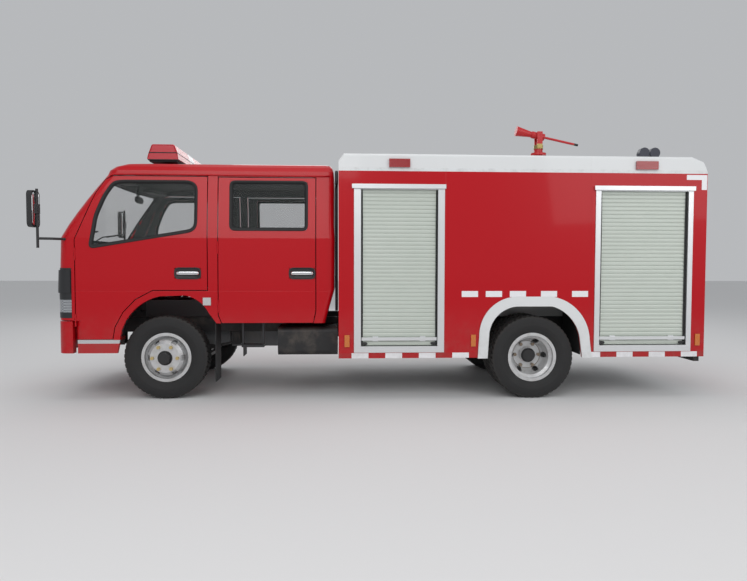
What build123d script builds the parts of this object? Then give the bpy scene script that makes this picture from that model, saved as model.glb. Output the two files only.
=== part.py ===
from build123d import *
from math import cos, radians, sin, sqrt
import os

os.makedirs("parts", exist_ok=True)

# Crew-cab light fire truck in millimetres: +X forward, +Y to its left, +Z up, standing on Z = 0.
# The origin is on the ground, midway between the front of the mirrors and the back of the ladder.

# Driving sizes
wheelbase = 3308
front_reach = 1056  # front axle to the front of the mirrors
rear_reach = 4985  # front axle to the back of the ladder
front_axle_x = (rear_reach - front_reach) / 2
rear_axle_x = front_axle_x - wheelbase
swing_gap = 8  # round doors and other moving panels
seat_gap = 0.3  # between pieces that are bolted together

# Wheels
tyre_radius = 374
tyre_width = 196
front_wheel_y = 762
disc_offset = 118  # from the middle of a rim to the mounting face of its disc
rear_disc_y = 747
rim_radius = 222
bead_radius = 204
rim_half_width = 75
disc_thickness = 12
nut_circle_radius = 111
nut_count = 6
nut_radius = 16
nut_height = 22
hand_hole_count = 6
hand_hole_radius = 18
hand_hole_circle_radius = 150
hub_radius = 62
drum_radius = 155
drum_wall = 10
bearing_gap = 0.4

# Steering
kingpin_y = 650
kingpin_radius = 18
boss_half_height = 44
boss_radius = 34
yoke_gap = 4
yoke_thickness = 30
spindle_radius = 28
steer_arm_length = 165
tie_rod_radius = 14
ball_pin_radius = 9

# Frame rails
rail_outer_y = 400
rail_width = 70
rail_bottom_z = 560
rail_top_z = 700
rail_wall = 8

# Cab
cab_half_width = 930
cab_wall = 40
belt_z = 1454
roof_round_z = 2000
roof_top_z = 2109
cab_front_x = front_axle_x + 982
cab_bulge_radius = 5200
cab_corner_radius = 90
cab_floor_z = 745
step_well_z = 545
sill_z = 689
arch_top_z = 940
floor_side_y = 540
bumper_top_z = 710
bumper_bottom_z = 427

# Body
body_front_x = front_axle_x - 1550
body_rear_x = front_axle_x - 4877
body_half_width = 1000
body_bottom_z = 380
body_top_z = 2035
coaming_top_z = 2187
skin = 25
locker_floor_z = 450
deck_floor_z = 770
well_inner_y = 430


def near(*points):
    """Points of a side outline, their X counted from the front axle."""
    return [(front_axle_x + x, z) for x, z in points]


def side_plane(y):
    """Plane at y whose local x is X and local y is Z; a positive extrusion goes to -Y."""
    return Plane(origin=(0, y, 0), x_dir=(1, 0, 0), z_dir=(0, -1, 0))


def cross_plane(x):
    """Plane at x whose local x is Y and local y is Z; a positive extrusion goes to +X."""
    return Plane(origin=(x, 0, 0), x_dir=(0, 1, 0), z_dir=(1, 0, 0))


def block(x0, x1, y0, y1, z0, z1):
    """Square block between two corners."""
    return Pos((x0 + x1) / 2, (y0 + y1) / 2, (z0 + z1) / 2) * Box(abs(x1 - x0), abs(y1 - y0), abs(z1 - z0))


def outline_prism(points, y_near, y_far, rounding=0, grow=0):
    """A side outline carried from y_near to y_far, its corners rounded and its edge moved out by grow."""
    with BuildPart() as prism:
        with BuildSketch(side_plane(y_near)) as face:
            with BuildLine():
                Polyline(*points, close=True)
            make_face()
            if rounding:
                fillet(face.vertices(), rounding)
            if grow:
                offset(amount=grow, kind=Kind.INTERSECTION, mode=Mode.REPLACE)
        extrude(amount=y_near - y_far)
    return prism.part


def both_sides(shape):
    """A left-hand shape and its mirror image."""
    return shape + mirror(shape, about=Plane.XZ)


def save(shape, label):
    """Labels a finished piece and writes it under that name."""
    shape.label = label
    export_step(shape, f"parts/{label}.step")


# Wheels: tyres, and rims with disc, hub, drum and nuts
def wheel_plane(axle_x):
    """Sketch plane through an axle's centre line: local x is the radius, local y is Y."""
    return Plane(origin=(axle_x, 0, tyre_radius), x_dir=(1, 0, 0), z_dir=(0, 0, 1))


def axle_line(axle_x):
    """The axle's centre line."""
    return Axis((axle_x, 0, tyre_radius), (0, 1, 0))


def turned(axle_x, points):
    """A ring turned about an axle from an outline of radius and Y."""
    with BuildPart() as ring:
        with BuildSketch(wheel_plane(axle_x)):
            with BuildLine():
                Polyline(*points, close=True)
            make_face()
        revolve(axis=axle_line(axle_x))
    return ring.part


def tyre_ring(axle_x, middle):
    """One tyre with its middle at a given Y."""
    half = tyre_width / 2
    with BuildPart() as ring:
        with BuildSketch(wheel_plane(axle_x)) as section:
            with BuildLine():
                Polyline(
                    (bead_radius + 1, middle - 62),
                    (rim_radius + 8, middle - 74),
                    (tyre_radius - 84, middle - half),
                    (tyre_radius, middle - half + 10),
                    (tyre_radius, middle + half - 10),
                    (tyre_radius - 84, middle + half),
                    (rim_radius + 8, middle + 74),
                    (bead_radius + 1, middle + 62),
                    close=True,
                )
            make_face()
            fillet(section.vertices().filter_by(lambda v: v.X > tyre_radius - 1), 28)
            fillet(section.vertices().filter_by(lambda v: abs(v.X - tyre_radius + 84) < 1), 40)
        revolve(axis=axle_line(axle_x))
    return ring.part


def rim_ring(axle_x, middle, outward):
    """One rim with its disc, which stands to the outward side of the rim's middle."""
    face = middle + outward * disc_offset
    back = face - outward * disc_thickness
    edge = rim_half_width
    well = bead_radius - 26
    barrel = turned(
        axle_x,
        [
            (rim_radius, middle - edge),
            (bead_radius, middle - edge + 8),
            (bead_radius, middle - 40),
            (well, middle - 22),
            (well, middle + 22),
            (bead_radius, middle + 40),
            (bead_radius, middle + edge - 8),
            (rim_radius, middle + edge),
            (bead_radius - 9, middle + edge),
            (bead_radius - 9, middle + 36),
            (well - 9, middle + 18),
            (well - 9, middle - 18),
            (bead_radius - 9, middle - 36),
            (bead_radius - 9, middle - edge),
        ],
    )
    disc = turned(
        axle_x,
        [
            (hub_radius - 20, back),
            (hub_radius - 20, face),
            (nut_circle_radius + 20, face),
            (hand_hole_circle_radius + 8, face - outward * 24),
            (well - 6, middle + outward * 30),
            (well - 6, middle + outward * 14),
            (hand_hole_circle_radius - 4, back - outward * 22),
            (nut_circle_radius + 14, back),
        ],
    )
    with BuildPart() as holes:
        with BuildSketch(side_plane(middle)):
            with Locations((axle_x, tyre_radius)):
                with PolarLocations(hand_hole_circle_radius, hand_hole_count):
                    SlotCenterToCenter(16, 2 * hand_hole_radius, rotation=90)
        extrude(amount=-outward * (disc_offset + 20))
    return barrel + (disc - holes.part)


def nuts(axle_x, face, outward):
    """Wheel nuts on a disc's face."""
    with BuildPart() as ring:
        with BuildSketch(side_plane(face)):
            with Locations((axle_x, tyre_radius)):
                with PolarLocations(nut_circle_radius, nut_count):
                    RegularPolygon(nut_radius, 6)
        extrude(amount=-outward * nut_height)
    return ring.part


def front_rim():
    """Left front rim with its hub, drum and nuts."""
    face = front_wheel_y + disc_offset
    back = face - disc_thickness
    hub = turned(
        front_axle_x,
        [
            (spindle_radius + bearing_gap, face - 150),
            (spindle_radius + bearing_gap, face + 6),
            (0, face + 6),
            (0, face + 34),
            (hub_radius - 14, face + 34),
            (hub_radius - 8, face),
            (hub_radius - 20, face),
            (hub_radius - 20, back),
            (nut_circle_radius + 22, back),
            (nut_circle_radius + 22, back - 14),
            (hub_radius, back - 14),
            (hub_radius - 8, face - 150),
        ],
    )
    drum = turned(
        front_axle_x,
        [
            (nut_circle_radius + 22, back),
            (nut_circle_radius + 22, back - drum_wall),
            (drum_radius - 30, back - 52),
            (drum_radius - drum_wall, back - 58),
            (drum_radius - drum_wall, back - 138),
            (drum_radius, back - 138),
            (drum_radius, back - 50),
            (nut_circle_radius + 30, back - 8),
        ],
    )
    return rim_ring(front_axle_x, front_wheel_y, 1) + hub + drum + nuts(front_axle_x, face, 1)


def rear_rims():
    """Left rear pair of rims with their hub, drum and nuts."""
    outer = rear_disc_y + disc_offset
    inner = rear_disc_y - disc_offset
    back = rear_disc_y - disc_thickness
    hub = turned(
        rear_axle_x,
        [
            (38 + bearing_gap, rear_disc_y - 150),
            (38 + bearing_gap, rear_disc_y + 6),
            (0, rear_disc_y + 6),
            (0, rear_disc_y + 84),
            (52, rear_disc_y + 84),
            (hub_radius + 8, rear_disc_y + 62),
            (hub_radius + 8, rear_disc_y + disc_thickness),
            (hub_radius - 20, rear_disc_y + disc_thickness),
            (hub_radius - 20, back),
            (nut_circle_radius + 22, back),
            (nut_circle_radius + 22, back - 14),
            (hub_radius + 4, back - 14),
            (hub_radius, rear_disc_y - 150),
        ],
    )
    drum = turned(
        rear_axle_x,
        [
            (nut_circle_radius + 22, back),
            (nut_circle_radius + 22, back - drum_wall),
            (drum_radius - drum_wall, back - 30),
            (drum_radius - drum_wall, back - 140),
            (drum_radius, back - 140),
            (drum_radius, back - 24),
        ],
    )
    pair = rim_ring(rear_axle_x, outer, -1) + rim_ring(rear_axle_x, inner, 1)
    return pair + hub + drum + nuts(rear_axle_x, rear_disc_y + disc_thickness, 1)


rear_tyres = tyre_ring(rear_axle_x, rear_disc_y + disc_offset) + tyre_ring(
    rear_axle_x, rear_disc_y - disc_offset
)
wheel_pieces = {
    "tyre_front": tyre_ring(front_axle_x, front_wheel_y),
    "rim_front": front_rim(),
    "tyres_rear": rear_tyres,
    "rims_rear": rear_rims(),
}
for name, piece in wheel_pieces.items():
    save(piece, f"{name}_left")
    save(mirror(piece, about=Plane.XZ), f"{name}_right")

# Front axle beam, knuckles and tie rod
beam_drop_z = tyre_radius - 74
with BuildPart() as front_axle:
    with BuildSketch(cross_plane(front_axle_x - 30)):
        with BuildLine():
            Polyline(
                (-kingpin_y, tyre_radius - 26),
                (-kingpin_y, tyre_radius + 26),
                (-kingpin_y + 90, tyre_radius + 20),
                (-floor_side_y + 70, beam_drop_z + 45),
                (floor_side_y - 70, beam_drop_z + 45),
                (kingpin_y - 90, tyre_radius + 20),
                (kingpin_y, tyre_radius + 26),
                (kingpin_y, tyre_radius - 26),
                (kingpin_y - 90, tyre_radius - 40),
                (floor_side_y - 70, beam_drop_z - 30),
                (-floor_side_y + 70, beam_drop_z - 30),
                (-kingpin_y + 90, tyre_radius - 40),
                close=True,
            )
        make_face()
    extrude(amount=60)
    with BuildSketch(Plane.XY.offset(tyre_radius - boss_half_height)):
        with Locations((front_axle_x, kingpin_y), (front_axle_x, -kingpin_y)):
            Circle(boss_radius)
    extrude(amount=2 * boss_half_height)
    with BuildSketch(Plane.XY.offset(tyre_radius - boss_half_height)):
        with Locations((front_axle_x, kingpin_y), (front_axle_x, -kingpin_y)):
            Circle(kingpin_radius + bearing_gap)
    extrude(amount=2 * boss_half_height, mode=Mode.SUBTRACT)
save(front_axle.part, "front_axle")

steer_joint_z = tyre_radius - boss_half_height - yoke_gap - yoke_thickness
with BuildPart() as knuckle:
    for base in (tyre_radius + boss_half_height + yoke_gap, steer_joint_z):
        with BuildSketch(Plane.XY.offset(base)):
            with Locations((front_axle_x, kingpin_y)):
                Circle(boss_radius + 2)
            with Locations((front_axle_x, kingpin_y + 25)):
                Rectangle(2 * boss_radius + 4, 50)
        extrude(amount=yoke_thickness)
    with BuildSketch(Plane.XY.offset(steer_joint_z)):
        with Locations((front_axle_x, kingpin_y)):
            Circle(kingpin_radius)
    extrude(amount=tyre_radius + boss_half_height + yoke_gap + yoke_thickness - steer_joint_z)
    with BuildSketch(Plane.XY.offset(steer_joint_z)):
        with Locations((front_axle_x, kingpin_y + 51)):
            Rectangle(2 * boss_radius + 4, 22)
    extrude(amount=2 * (boss_half_height + yoke_gap + yoke_thickness))
    with BuildSketch(side_plane(kingpin_y + 60)):
        with Locations((front_axle_x, tyre_radius)):
            Circle(drum_radius - drum_wall - 6)
    extrude(amount=-6)
    with BuildSketch(side_plane(kingpin_y + 60)):
        with Locations((front_axle_x, tyre_radius)):
            Circle(spindle_radius)
    extrude(amount=-(front_wheel_y + disc_offset - kingpin_y - 60))
    with BuildSketch(Plane.XY.offset(steer_joint_z)):
        with BuildLine():
            Polyline(
                (front_axle_x, kingpin_y - 20),
                (front_axle_x, kingpin_y + 20),
                (front_axle_x - steer_arm_length, kingpin_y + 16),
                (front_axle_x - steer_arm_length - 18, kingpin_y),
                (front_axle_x - steer_arm_length, kingpin_y - 16),
                close=True,
            )
        make_face()
    extrude(amount=20)
    with BuildSketch(Plane.XY.offset(steer_joint_z)):
        with Locations((front_axle_x - steer_arm_length, kingpin_y)):
            Circle(ball_pin_radius)
    extrude(amount=-48)
save(knuckle.part, "knuckle_left")
save(mirror(knuckle.part, about=Plane.XZ), "knuckle_right")

tie_rod_z = steer_joint_z - 28
with BuildPart() as tie_rod:
    with BuildSketch(side_plane(kingpin_y - 24)):
        with Locations((front_axle_x - steer_arm_length, tie_rod_z)):
            Circle(tie_rod_radius)
    extrude(amount=2 * (kingpin_y - 24))
    with BuildSketch(Plane.XY.offset(tie_rod_z - 16)):
        with Locations(*[(front_axle_x - steer_arm_length, y) for y in (kingpin_y, -kingpin_y)]):
            Circle(ball_pin_radius + 18)
    extrude(amount=32)
    with BuildSketch(Plane.XY.offset(tie_rod_z - 16)):
        with Locations(*[(front_axle_x - steer_arm_length, y) for y in (kingpin_y, -kingpin_y)]):
            Circle(ball_pin_radius + bearing_gap)
    extrude(amount=32, mode=Mode.SUBTRACT)
save(tie_rod.part, "tie_rod")

# Rear axle housing
rear_spring_y = 372
with BuildPart() as rear_axle:
    with BuildSketch(wheel_plane(rear_axle_x)):
        with BuildLine():
            Polyline(
                (0, -rear_disc_y),
                (38, -rear_disc_y),
                (38, -rear_disc_y + 155),
                (56, -rear_disc_y + 160),
                (56, -240),
                (150, -90),
                (165, 0),
                (150, 90),
                (56, 240),
                (56, rear_disc_y - 160),
                (38, rear_disc_y - 155),
                (38, rear_disc_y),
                (0, rear_disc_y),
                close=True,
            )
        make_face()
    revolve(axis=axle_line(rear_axle_x))
save(rear_axle.part, "rear_axle")

# Leaf springs
front_spring_y = 365
front_seat_z = beam_drop_z + 45
rear_seat_z = tyre_radius + 56


def spring_pack(axle_x, y, seat_z, half_length, rise):
    """Leaf spring of five leaves above an axle, its eyes bent up under the rail."""
    leaf = 11
    with BuildPart() as pack:
        for step in range(5):
            reach = half_length * (1 - 0.17 * (4 - step))
            lift = rise * (reach / half_length) ** 2
            base = seat_z + leaf * step
            with BuildSketch(side_plane(y + 35)):
                with BuildLine():
                    ThreePointArc(
                        (axle_x - reach, base + lift), (axle_x, base), (axle_x + reach, base + lift)
                    )
                    Line((axle_x + reach, base + lift), (axle_x + reach, base + lift + leaf))
                    ThreePointArc(
                        (axle_x + reach, base + lift + leaf),
                        (axle_x, base + leaf),
                        (axle_x - reach, base + lift + leaf),
                    )
                    Line((axle_x - reach, base + lift + leaf), (axle_x - reach, base + lift))
                make_face()
            extrude(amount=70)
        with BuildSketch(side_plane(y + 35)):
            with Locations(
                *[(axle_x + s * (half_length - 6), seat_z + leaf * 4 + rise + 24) for s in (-1, 1)]
            ):
                Circle(26)
        extrude(amount=70)
    return pack.part


spring_half_length = 560
spring_rise = 72
springs = spring_pack(front_axle_x, front_spring_y, front_seat_z, spring_half_length, spring_rise)
springs += spring_pack(rear_axle_x, rear_spring_y, rear_seat_z, spring_half_length, spring_rise - 40)
save(both_sides(springs), "leaf_springs")

# Chassis frame: rails, crossmembers, spring brackets, cab mounts, bumper brackets and rear bar
rail_front_x = front_axle_x + 905
rail_rear_x = front_axle_x - 4780
rail_inner_y = rail_outer_y - rail_width
crossmember_x = [front_axle_x + x for x in (830, -1110, -1650, -2560, -4200, -4700)]
cab_mount_x = [front_axle_x + x for x in (640, -700, -1330)]
rear_bar_front_x = body_rear_x + 15
engine_half_width = 280
with BuildPart() as frame:
    with BuildSketch(cross_plane(rail_rear_x)):
        for side in (-1, 1):
            with Locations((side * (rail_outer_y - rail_width / 2), (rail_bottom_z + rail_top_z) / 2)):
                Rectangle(rail_width, rail_top_z - rail_bottom_z)
            with Locations(
                (side * (rail_inner_y + (rail_width - rail_wall) / 2), (rail_bottom_z + rail_top_z) / 2)
            ):
                Rectangle(
                    rail_width - rail_wall, rail_top_z - rail_bottom_z - 2 * rail_wall, mode=Mode.SUBTRACT
                )
    extrude(amount=rail_front_x - rail_rear_x)
frame_shape = frame.part
for x in crossmember_x:
    frame_shape += block(
        x - 35, x + 35, -rail_outer_y + 4, rail_outer_y - 4, rail_bottom_z + 20, rail_top_z - 30
    )
for x in cab_mount_x:
    for side in (-1, 1):
        frame_shape += block(
            x - 40, x + 40, side * rail_inner_y, side * rail_outer_y, rail_top_z, cab_floor_z - seat_gap
        )


def spring_bracket(x, y, low_z):
    """Bracket from the rail down to a spring's eye."""
    cheeks = block(x - 40, x + 40, y + 35 + seat_gap, y + 47, low_z, rail_bottom_z)
    cheeks += block(x - 40, x + 40, y - 47, y - 35 - seat_gap, low_z, rail_bottom_z)
    return cheeks + block(x - 40, x + 40, y - 47, y + 47, rail_bottom_z - 3, rail_bottom_z)


for axle_x, y, seat_z, rise in (
    (front_axle_x, front_spring_y, front_seat_z, spring_rise),
    (rear_axle_x, rear_spring_y, rear_seat_z, spring_rise - 40),
):
    for end in (-1, 1):
        bracket = spring_bracket(axle_x + end * (spring_half_length - 6), y, seat_z + rise + 20)
        frame_shape += both_sides(bracket)
frame_shape += both_sides(
    block(front_axle_x - 100, front_axle_x - 20, engine_half_width, rail_inner_y, 600, 660)
)
rear_bar_top_z = 420
drop_z = rear_bar_top_z + seat_gap
drop = block(rear_bar_front_x, rear_bar_front_x + 60, rail_inner_y, rail_outer_y, drop_z, rail_bottom_z)
drop += block(
    rear_bar_front_x, rail_rear_x + 20, rail_inner_y, rail_outer_y, rail_bottom_z - 60, rail_bottom_z + 6
)
frame_shape += both_sides(drop)
frame_shape -= both_sides(
    block(rail_rear_x, front_axle_x + 2000, rail_inner_y - seat_gap, rail_inner_y, rail_bottom_z, rail_top_z)
)
frame_shape += block(rear_bar_front_x, rear_bar_front_x + 50, -950, 950, rear_bar_top_z - 90, rear_bar_top_z)
tow_eye_x = rear_bar_front_x - 43
tow_eye = block(tow_eye_x - 35, rear_bar_front_x, -50, 50, 362, 386)
frame_shape += tow_eye - Pos(tow_eye_x, 0, 374) * Cylinder(21, 40)
save(frame_shape, "chassis_frame")

# Engine, gearbox and propeller shaft
shaft_radius = 40
with BuildPart() as powertrain:
    with Locations((front_axle_x - 60, 0, 640)):
        Box(820, 2 * engine_half_width, 440)
    with Locations((front_axle_x - 772.5, 0, 560)):
        Box(605, 360, 340)
    with BuildSketch(cross_plane(front_axle_x - 1050)):
        with Locations((0, 500)):
            Circle(shaft_radius)
    extrude(amount=-(wheelbase - 1050 - 250))
save(powertrain.part, "powertrain")

# Fuel tank on the left
with BuildPart() as fuel_tank:
    with BuildSketch(cross_plane(front_axle_x - 1540)) as tank_section:
        with Locations((680, 519)):
            Rectangle(360, 256)
        fillet(tank_section.vertices(), 50)
    extrude(amount=540)
    for x in (-1080, -1450):
        with Locations((front_axle_x + x, (rail_outer_y + 500) / 2, 600)):
            Box(50, 500 - rail_outer_y, 80)
save(fuel_tank.part, "fuel_tank")

# Silencer and pipe on the right, and the air intake behind the cab
with BuildPart() as exhaust:
    with BuildSketch(cross_plane(front_axle_x - 1450)):
        with Locations((-600, 520)):
            Ellipse(150, 105)
    extrude(amount=560)
    with BuildSketch(cross_plane(front_axle_x - 890)):
        with Locations((-560, 560)):
            Circle(30)
    extrude(amount=500)
    with BuildSketch(cross_plane(front_axle_x - 1520)):
        with Locations((-600, 520)):
            Circle(30)
    extrude(amount=70)
    with Locations((front_axle_x - 1300, -(rail_outer_y + 520) / 2, 600)):
        Box(60, 520 - rail_outer_y, 60)
save(exhaust.part, "exhaust")


# Cab: a lofted form whose front bulges and whose sides lean in above the belt
def cab_form(inset):
    """The cab's closed outer form, moved in by inset."""
    levels = [(430, 850, -1385), (bumper_top_z + 4, 850, -1432), (bumper_top_z + 10, 982, -1434)]
    levels += [(985, 984, -1510), (belt_z - 10, 967, -1515)]
    for z in (1560, 1670, 1780, 1890, roof_round_z):
        rise = z - belt_z
        levels.append((z, 967 - 0.62 * rise - 0.00022 * rise * rise, -1508))
    sections = [(z, front, -930 + 0.094 * max(0, z - belt_z), rear) for z, front, rear in levels]
    eave = sections[-1]
    for turn in (22.5, 45, 67.5, 90):
        inward = 1 - cos(radians(turn))
        z = roof_round_z + (roof_top_z - roof_round_z - inset) * sin(radians(turn))
        sections.append((z, eave[1] - 230 * inward, eave[2] + 80 * inward, eave[3] + 50 * inward))
    with BuildPart() as form:
        for z, front, half, rear in sections:
            front_x = front_axle_x + front - inset
            half_width = -half - inset
            rear_x = front_axle_x + rear + inset
            side_x = front_x - cab_bulge_radius + sqrt(cab_bulge_radius**2 - half_width**2)
            with BuildSketch(Plane.XY.offset(z)) as level:
                with BuildLine():
                    ThreePointArc((side_x, -half_width), (front_x, 0), (side_x, half_width))
                    Polyline(
                        (side_x, half_width),
                        (rear_x, half_width),
                        (rear_x, -half_width),
                        (side_x, -half_width),
                    )
                make_face()
                fillet(level.vertices().sort_by(Axis.X)[2:], cab_corner_radius - inset * 0.8)
                fillet(level.vertices().sort_by(Axis.X)[:2], 46 - inset * 0.8)
        loft(ruled=True)
    return form.part


def prism(points, y_inner, y_outer):
    """A side outline on both sides of the cab, between two distances from the middle."""
    return both_sides(outline_prism(points, y_outer, y_inner))


def under_centre(grow):
    """Space under the cab between the step wells, grown by grow."""
    points = near(
        (1400, 200),
        (1400, cab_floor_z + grow),
        (465 + grow, cab_floor_z + grow),
        (465 + grow, arch_top_z + grow),
        (-500 - grow, arch_top_z + grow),
        (-500 - grow, cab_floor_z + grow),
        (-1700, cab_floor_z + grow),
        (-1700, 200),
    )
    return outline_prism(points, floor_side_y + grow, -floor_side_y - grow)


def under_side(grow, y_inner, y_outer):
    """Space under the cab outside the step wells' inner walls, with the wheel arches."""
    points = near(
        (1400, 200),
        (1400, step_well_z + grow),
        (465 + grow, step_well_z + grow),
        (465 + grow, 700 + grow),
        (385 + grow, 860 + grow),
        (270 + grow, arch_top_z + grow),
        (-300 - grow, arch_top_z + grow),
        (-400 - grow, 880 + grow),
        (-500 - grow, 740 + grow),
        (-500 - grow, sill_z + grow),
        (-1700, sill_z + grow),
        (-1700, 200),
    )
    return prism(points, y_inner, y_outer)


def arch_lip():
    """Space below the visible edge of the cab's sides, across the whole cab."""
    with BuildPart() as lip:
        with BuildSketch(side_plane(body_half_width)):
            with BuildLine():
                Polyline(
                    *near((-468, sill_z), (-1700, sill_z), (-1700, 200), (1400, 200), (1400, step_well_z))
                )
                Polyline(*near((1400, step_well_z), (376, step_well_z)))
                ThreePointArc(*near((376, step_well_z), (252, 806), (23, 930)))
                Line(*near((23, 930), (-200, 937)))
                ThreePointArc(*near((-200, 937), (-325, 876), (-400, 782)))
                Line(*near((-400, 782), (-468, sill_z)))
            make_face()
        extrude(amount=2 * body_half_width)
    return lip.part


front_door_outline = near(
    (750, 550),
    (750, 1430),
    (650, 1665),
    (575, 1840),
    (500, 1955),
    (430, 1987),
    (-388, 1987),
    (-388, 985),
    (90, 985),
    (240, 905),
    (350, 790),
    (420, 660),
    (440, 550),
)
front_window_outline = near(
    (632, 1350),
    (584, 1643),
    (512, 1818),
    (433, 1935),
    (364, 1950),
    (-245, 1950),
    (-302, 1905),
    (-300, 1545),
    (-254, 1498),
)
rear_door_outline = near((-516, 692), (-488, 760), (-488, 1982), (-1343, 1982), (-1343, 800), (-1321, 692))
rear_window_outline = near((-589, 1514), (-589, 1952), (-1273, 1952), (-1273, 1514))
screen_outline = [(-800, 1448), (800, 1448), (742, 1962), (-742, 1962)]
door_inner_y = 640
door_outer_y = 1040

cab_outer = cab_form(0)
cab_inner = cab_form(cab_wall)
cab_skin = cab_outer - cab_inner
glass_skin = cab_form(14) - cab_form(20)
doorway_back = cab_form(cab_wall + swing_gap)
well_floor_z = step_well_z + cab_wall
door_face_y = cab_half_width - cab_wall
well_floor = block(front_axle_x, front_axle_x + 1000, 0, door_face_y - swing_gap, 400, well_floor_z - swing_gap)

with BuildPart() as screen_prism:
    with BuildSketch(cross_plane(front_axle_x + 420)) as screen_face:
        with BuildLine():
            Polyline(*screen_outline, close=True)
        make_face()
        fillet(screen_face.vertices(), 60)
    extrude(amount=700)
lamp_outline = [(590, 740), (1000, 740), (1000, 1178), (700, 1178), (560, 1130)]
lamp_glass_outline = [(650, 960), (1000, 960), (1000, 1160), (705, 1160), (640, 1110)]
grille_outline = [(-545, 770), (545, 770), (520, 1110), (-520, 1110)]


def front_prism(outline, low_x):
    """A front outline carried forward from low_x."""
    with BuildPart() as face:
        with BuildSketch(cross_plane(low_x)):
            with BuildLine():
                Polyline(*outline, close=True)
            make_face()
        extrude(amount=front_axle_x + 1100 - low_x)
    return face.part


lamp_prism = both_sides(front_prism(lamp_outline, front_axle_x + 784))
grille_prism = front_prism(grille_outline, front_axle_x + 800)
cavity = cab_inner - under_centre(cab_wall) - under_side(cab_wall, floor_side_y - cab_wall, 1100)
shell = cab_outer - cavity - under_centre(0) - arch_lip()
shell -= under_side(0, floor_side_y, cab_half_width - cab_wall)
pocket_skin = cab_outer - cab_form(22)
shell -= screen_prism.part
shell -= pocket_skin & lamp_prism
shell -= pocket_skin & grille_prism
for outline in (front_door_outline, rear_door_outline):
    doorway = outline_prism(outline, door_outer_y, door_inner_y, grow=swing_gap) - doorway_back - well_floor
    shell -= both_sides(doorway)


def hinge_barrels(x, heights, radius):
    """Upright hinge barrels on a door's line, one at each height."""
    barrels = [Pos(x, hinge_y, z) * Cylinder(radius, hinge_length) for z in heights]
    return barrels[0] + barrels[1]


def outer_barrels(x, heights, radius):
    """The hinge barrels above and below a door's own barrels."""
    spread = hinge_length + 1
    return hinge_barrels(x, [z + spread for z in heights], radius) + hinge_barrels(
        x, [z - spread for z in heights], radius
    )


hinge_y = cab_half_width - 1
hinge_length = 36
hinge_radius = 7
pin_radius = 3.5
door_hinges = {
    "front": (front_axle_x + 750 + swing_gap / 2, (720, 1300)),
    "rear": (front_axle_x - 488 + swing_gap / 2, (840, 1360)),
}
for hinge_x, heights in door_hinges.values():
    shell -= both_sides(hinge_barrels(hinge_x, heights, hinge_radius + 2))
    fixed = outer_barrels(hinge_x, heights, hinge_radius)
    for z in heights:
        fixed += Pos(hinge_x, hinge_y, z) * Cylinder(pin_radius, hinge_length + 20)
    shell += both_sides(fixed)
roof_seam_z = 2030
shell -= block(front_axle_x - 1700, front_axle_x + 1200, -1100, 1100, roof_seam_z, roof_seam_z + seat_gap)
save(shell, "cab_shell")

# Mud flaps behind the front and rear wheels
flap_x = front_axle_x - 447
rear_flap_x = rear_axle_x - 427
well_roof_z = 880
front_flap = block(flap_x - 8, flap_x, 664, cab_half_width - cab_wall - 5, 159, 840) - shell
rear_flap = block(rear_flap_x - 8, rear_flap_x, 520, body_half_width - skin - 10, 400, well_roof_z)
save(both_sides(front_flap + rear_flap), "mudflaps")
save(glass_skin & screen_prism.part, "windscreen")

front_skin = cab_form(-4) - cab_form(22 - seat_gap)
lamp_bulge = (cab_form(-14) - cab_form(4)) & both_sides(front_prism(lamp_glass_outline, front_axle_x + 790))
save((front_skin & lamp_prism) + lamp_bulge, "headlamps")
grille = front_skin & grille_prism
grille_ribs = (cab_form(-10) - cab_form(0)) & grille_prism
for slot_z in (805, 861, 917, 973, 1029):
    slot_width = 980 if slot_z < 1000 else 940
    slot = block(
        front_axle_x + 800, front_axle_x + 1100, -slot_width / 2, slot_width / 2, slot_z, slot_z + 34
    )
    grille_ribs -= slot
    grille -= slot & cab_form(-20) - cab_form(12)
save(grille + grille_ribs, "grille")

# Doors and their glass
for name, outline, window, handle_x in (
    ("front", front_door_outline, front_window_outline, -220),
    ("rear", rear_door_outline, rear_window_outline, -1225),
):
    opening = outline_prism(window, door_outer_y, door_inner_y, rounding=24)
    door = (cab_skin & outline_prism(outline, door_outer_y, door_inner_y)) - opening
    door -= block(front_axle_x, front_axle_x + 1000, 0, door_face_y, 400, well_floor_z)
    handle_x += front_axle_x
    door -= block(handle_x - 115, handle_x + 115, cab_half_width - 14, cab_half_width + 20, 1085, 1180)
    door += block(handle_x - 95, handle_x + 95, cab_half_width - 6, cab_half_width + 6, 1122, 1146)
    door += block(handle_x - 95, handle_x - 70, cab_half_width - 15, cab_half_width, 1122, 1146)
    door += block(handle_x + 70, handle_x + 95, cab_half_width - 15, cab_half_width, 1122, 1146)
    hinge_x, heights = door_hinges[name]
    door -= outer_barrels(hinge_x, heights, hinge_radius + 2)
    door += hinge_barrels(hinge_x, heights, hinge_radius) - hinge_barrels(
        hinge_x, heights, pin_radius + bearing_gap
    )
    door -= hinge_barrels(hinge_x, heights, pin_radius + bearing_gap)
    pane = glass_skin & opening
    save(door, f"door_{name}_left")
    save(mirror(door, about=Plane.XZ), f"door_{name}_right")
    save(pane, f"glass_{name}_left")
    save(mirror(pane, about=Plane.XZ), f"glass_{name}_right")

# Dashboard, with the steering column
dash_points = near((560, 1180), (560, 1300), (690, 1400), (960, 1400), (960, 1150), (700, 1020), (620, 1080))
dashboard = outline_prism(dash_points, 835, -835) & cab_inner
wheel_tilt = 28
column_x = front_axle_x + 440
column_z = 1270
column_y = 430
column_plane = Plane(
    origin=(column_x, column_y, column_z),
    x_dir=(0, 1, 0),
    z_dir=(-sin(radians(wheel_tilt)), 0, cos(radians(wheel_tilt))),
)
with BuildPart() as column:
    with BuildSketch(column_plane.offset(-12)):
        Circle(26)
    extrude(amount=-440)
dashboard += column.part - block(front_axle_x, front_axle_x + 1000, 300, 560, 400, 786)
save(dashboard, "dashboard")

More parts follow.
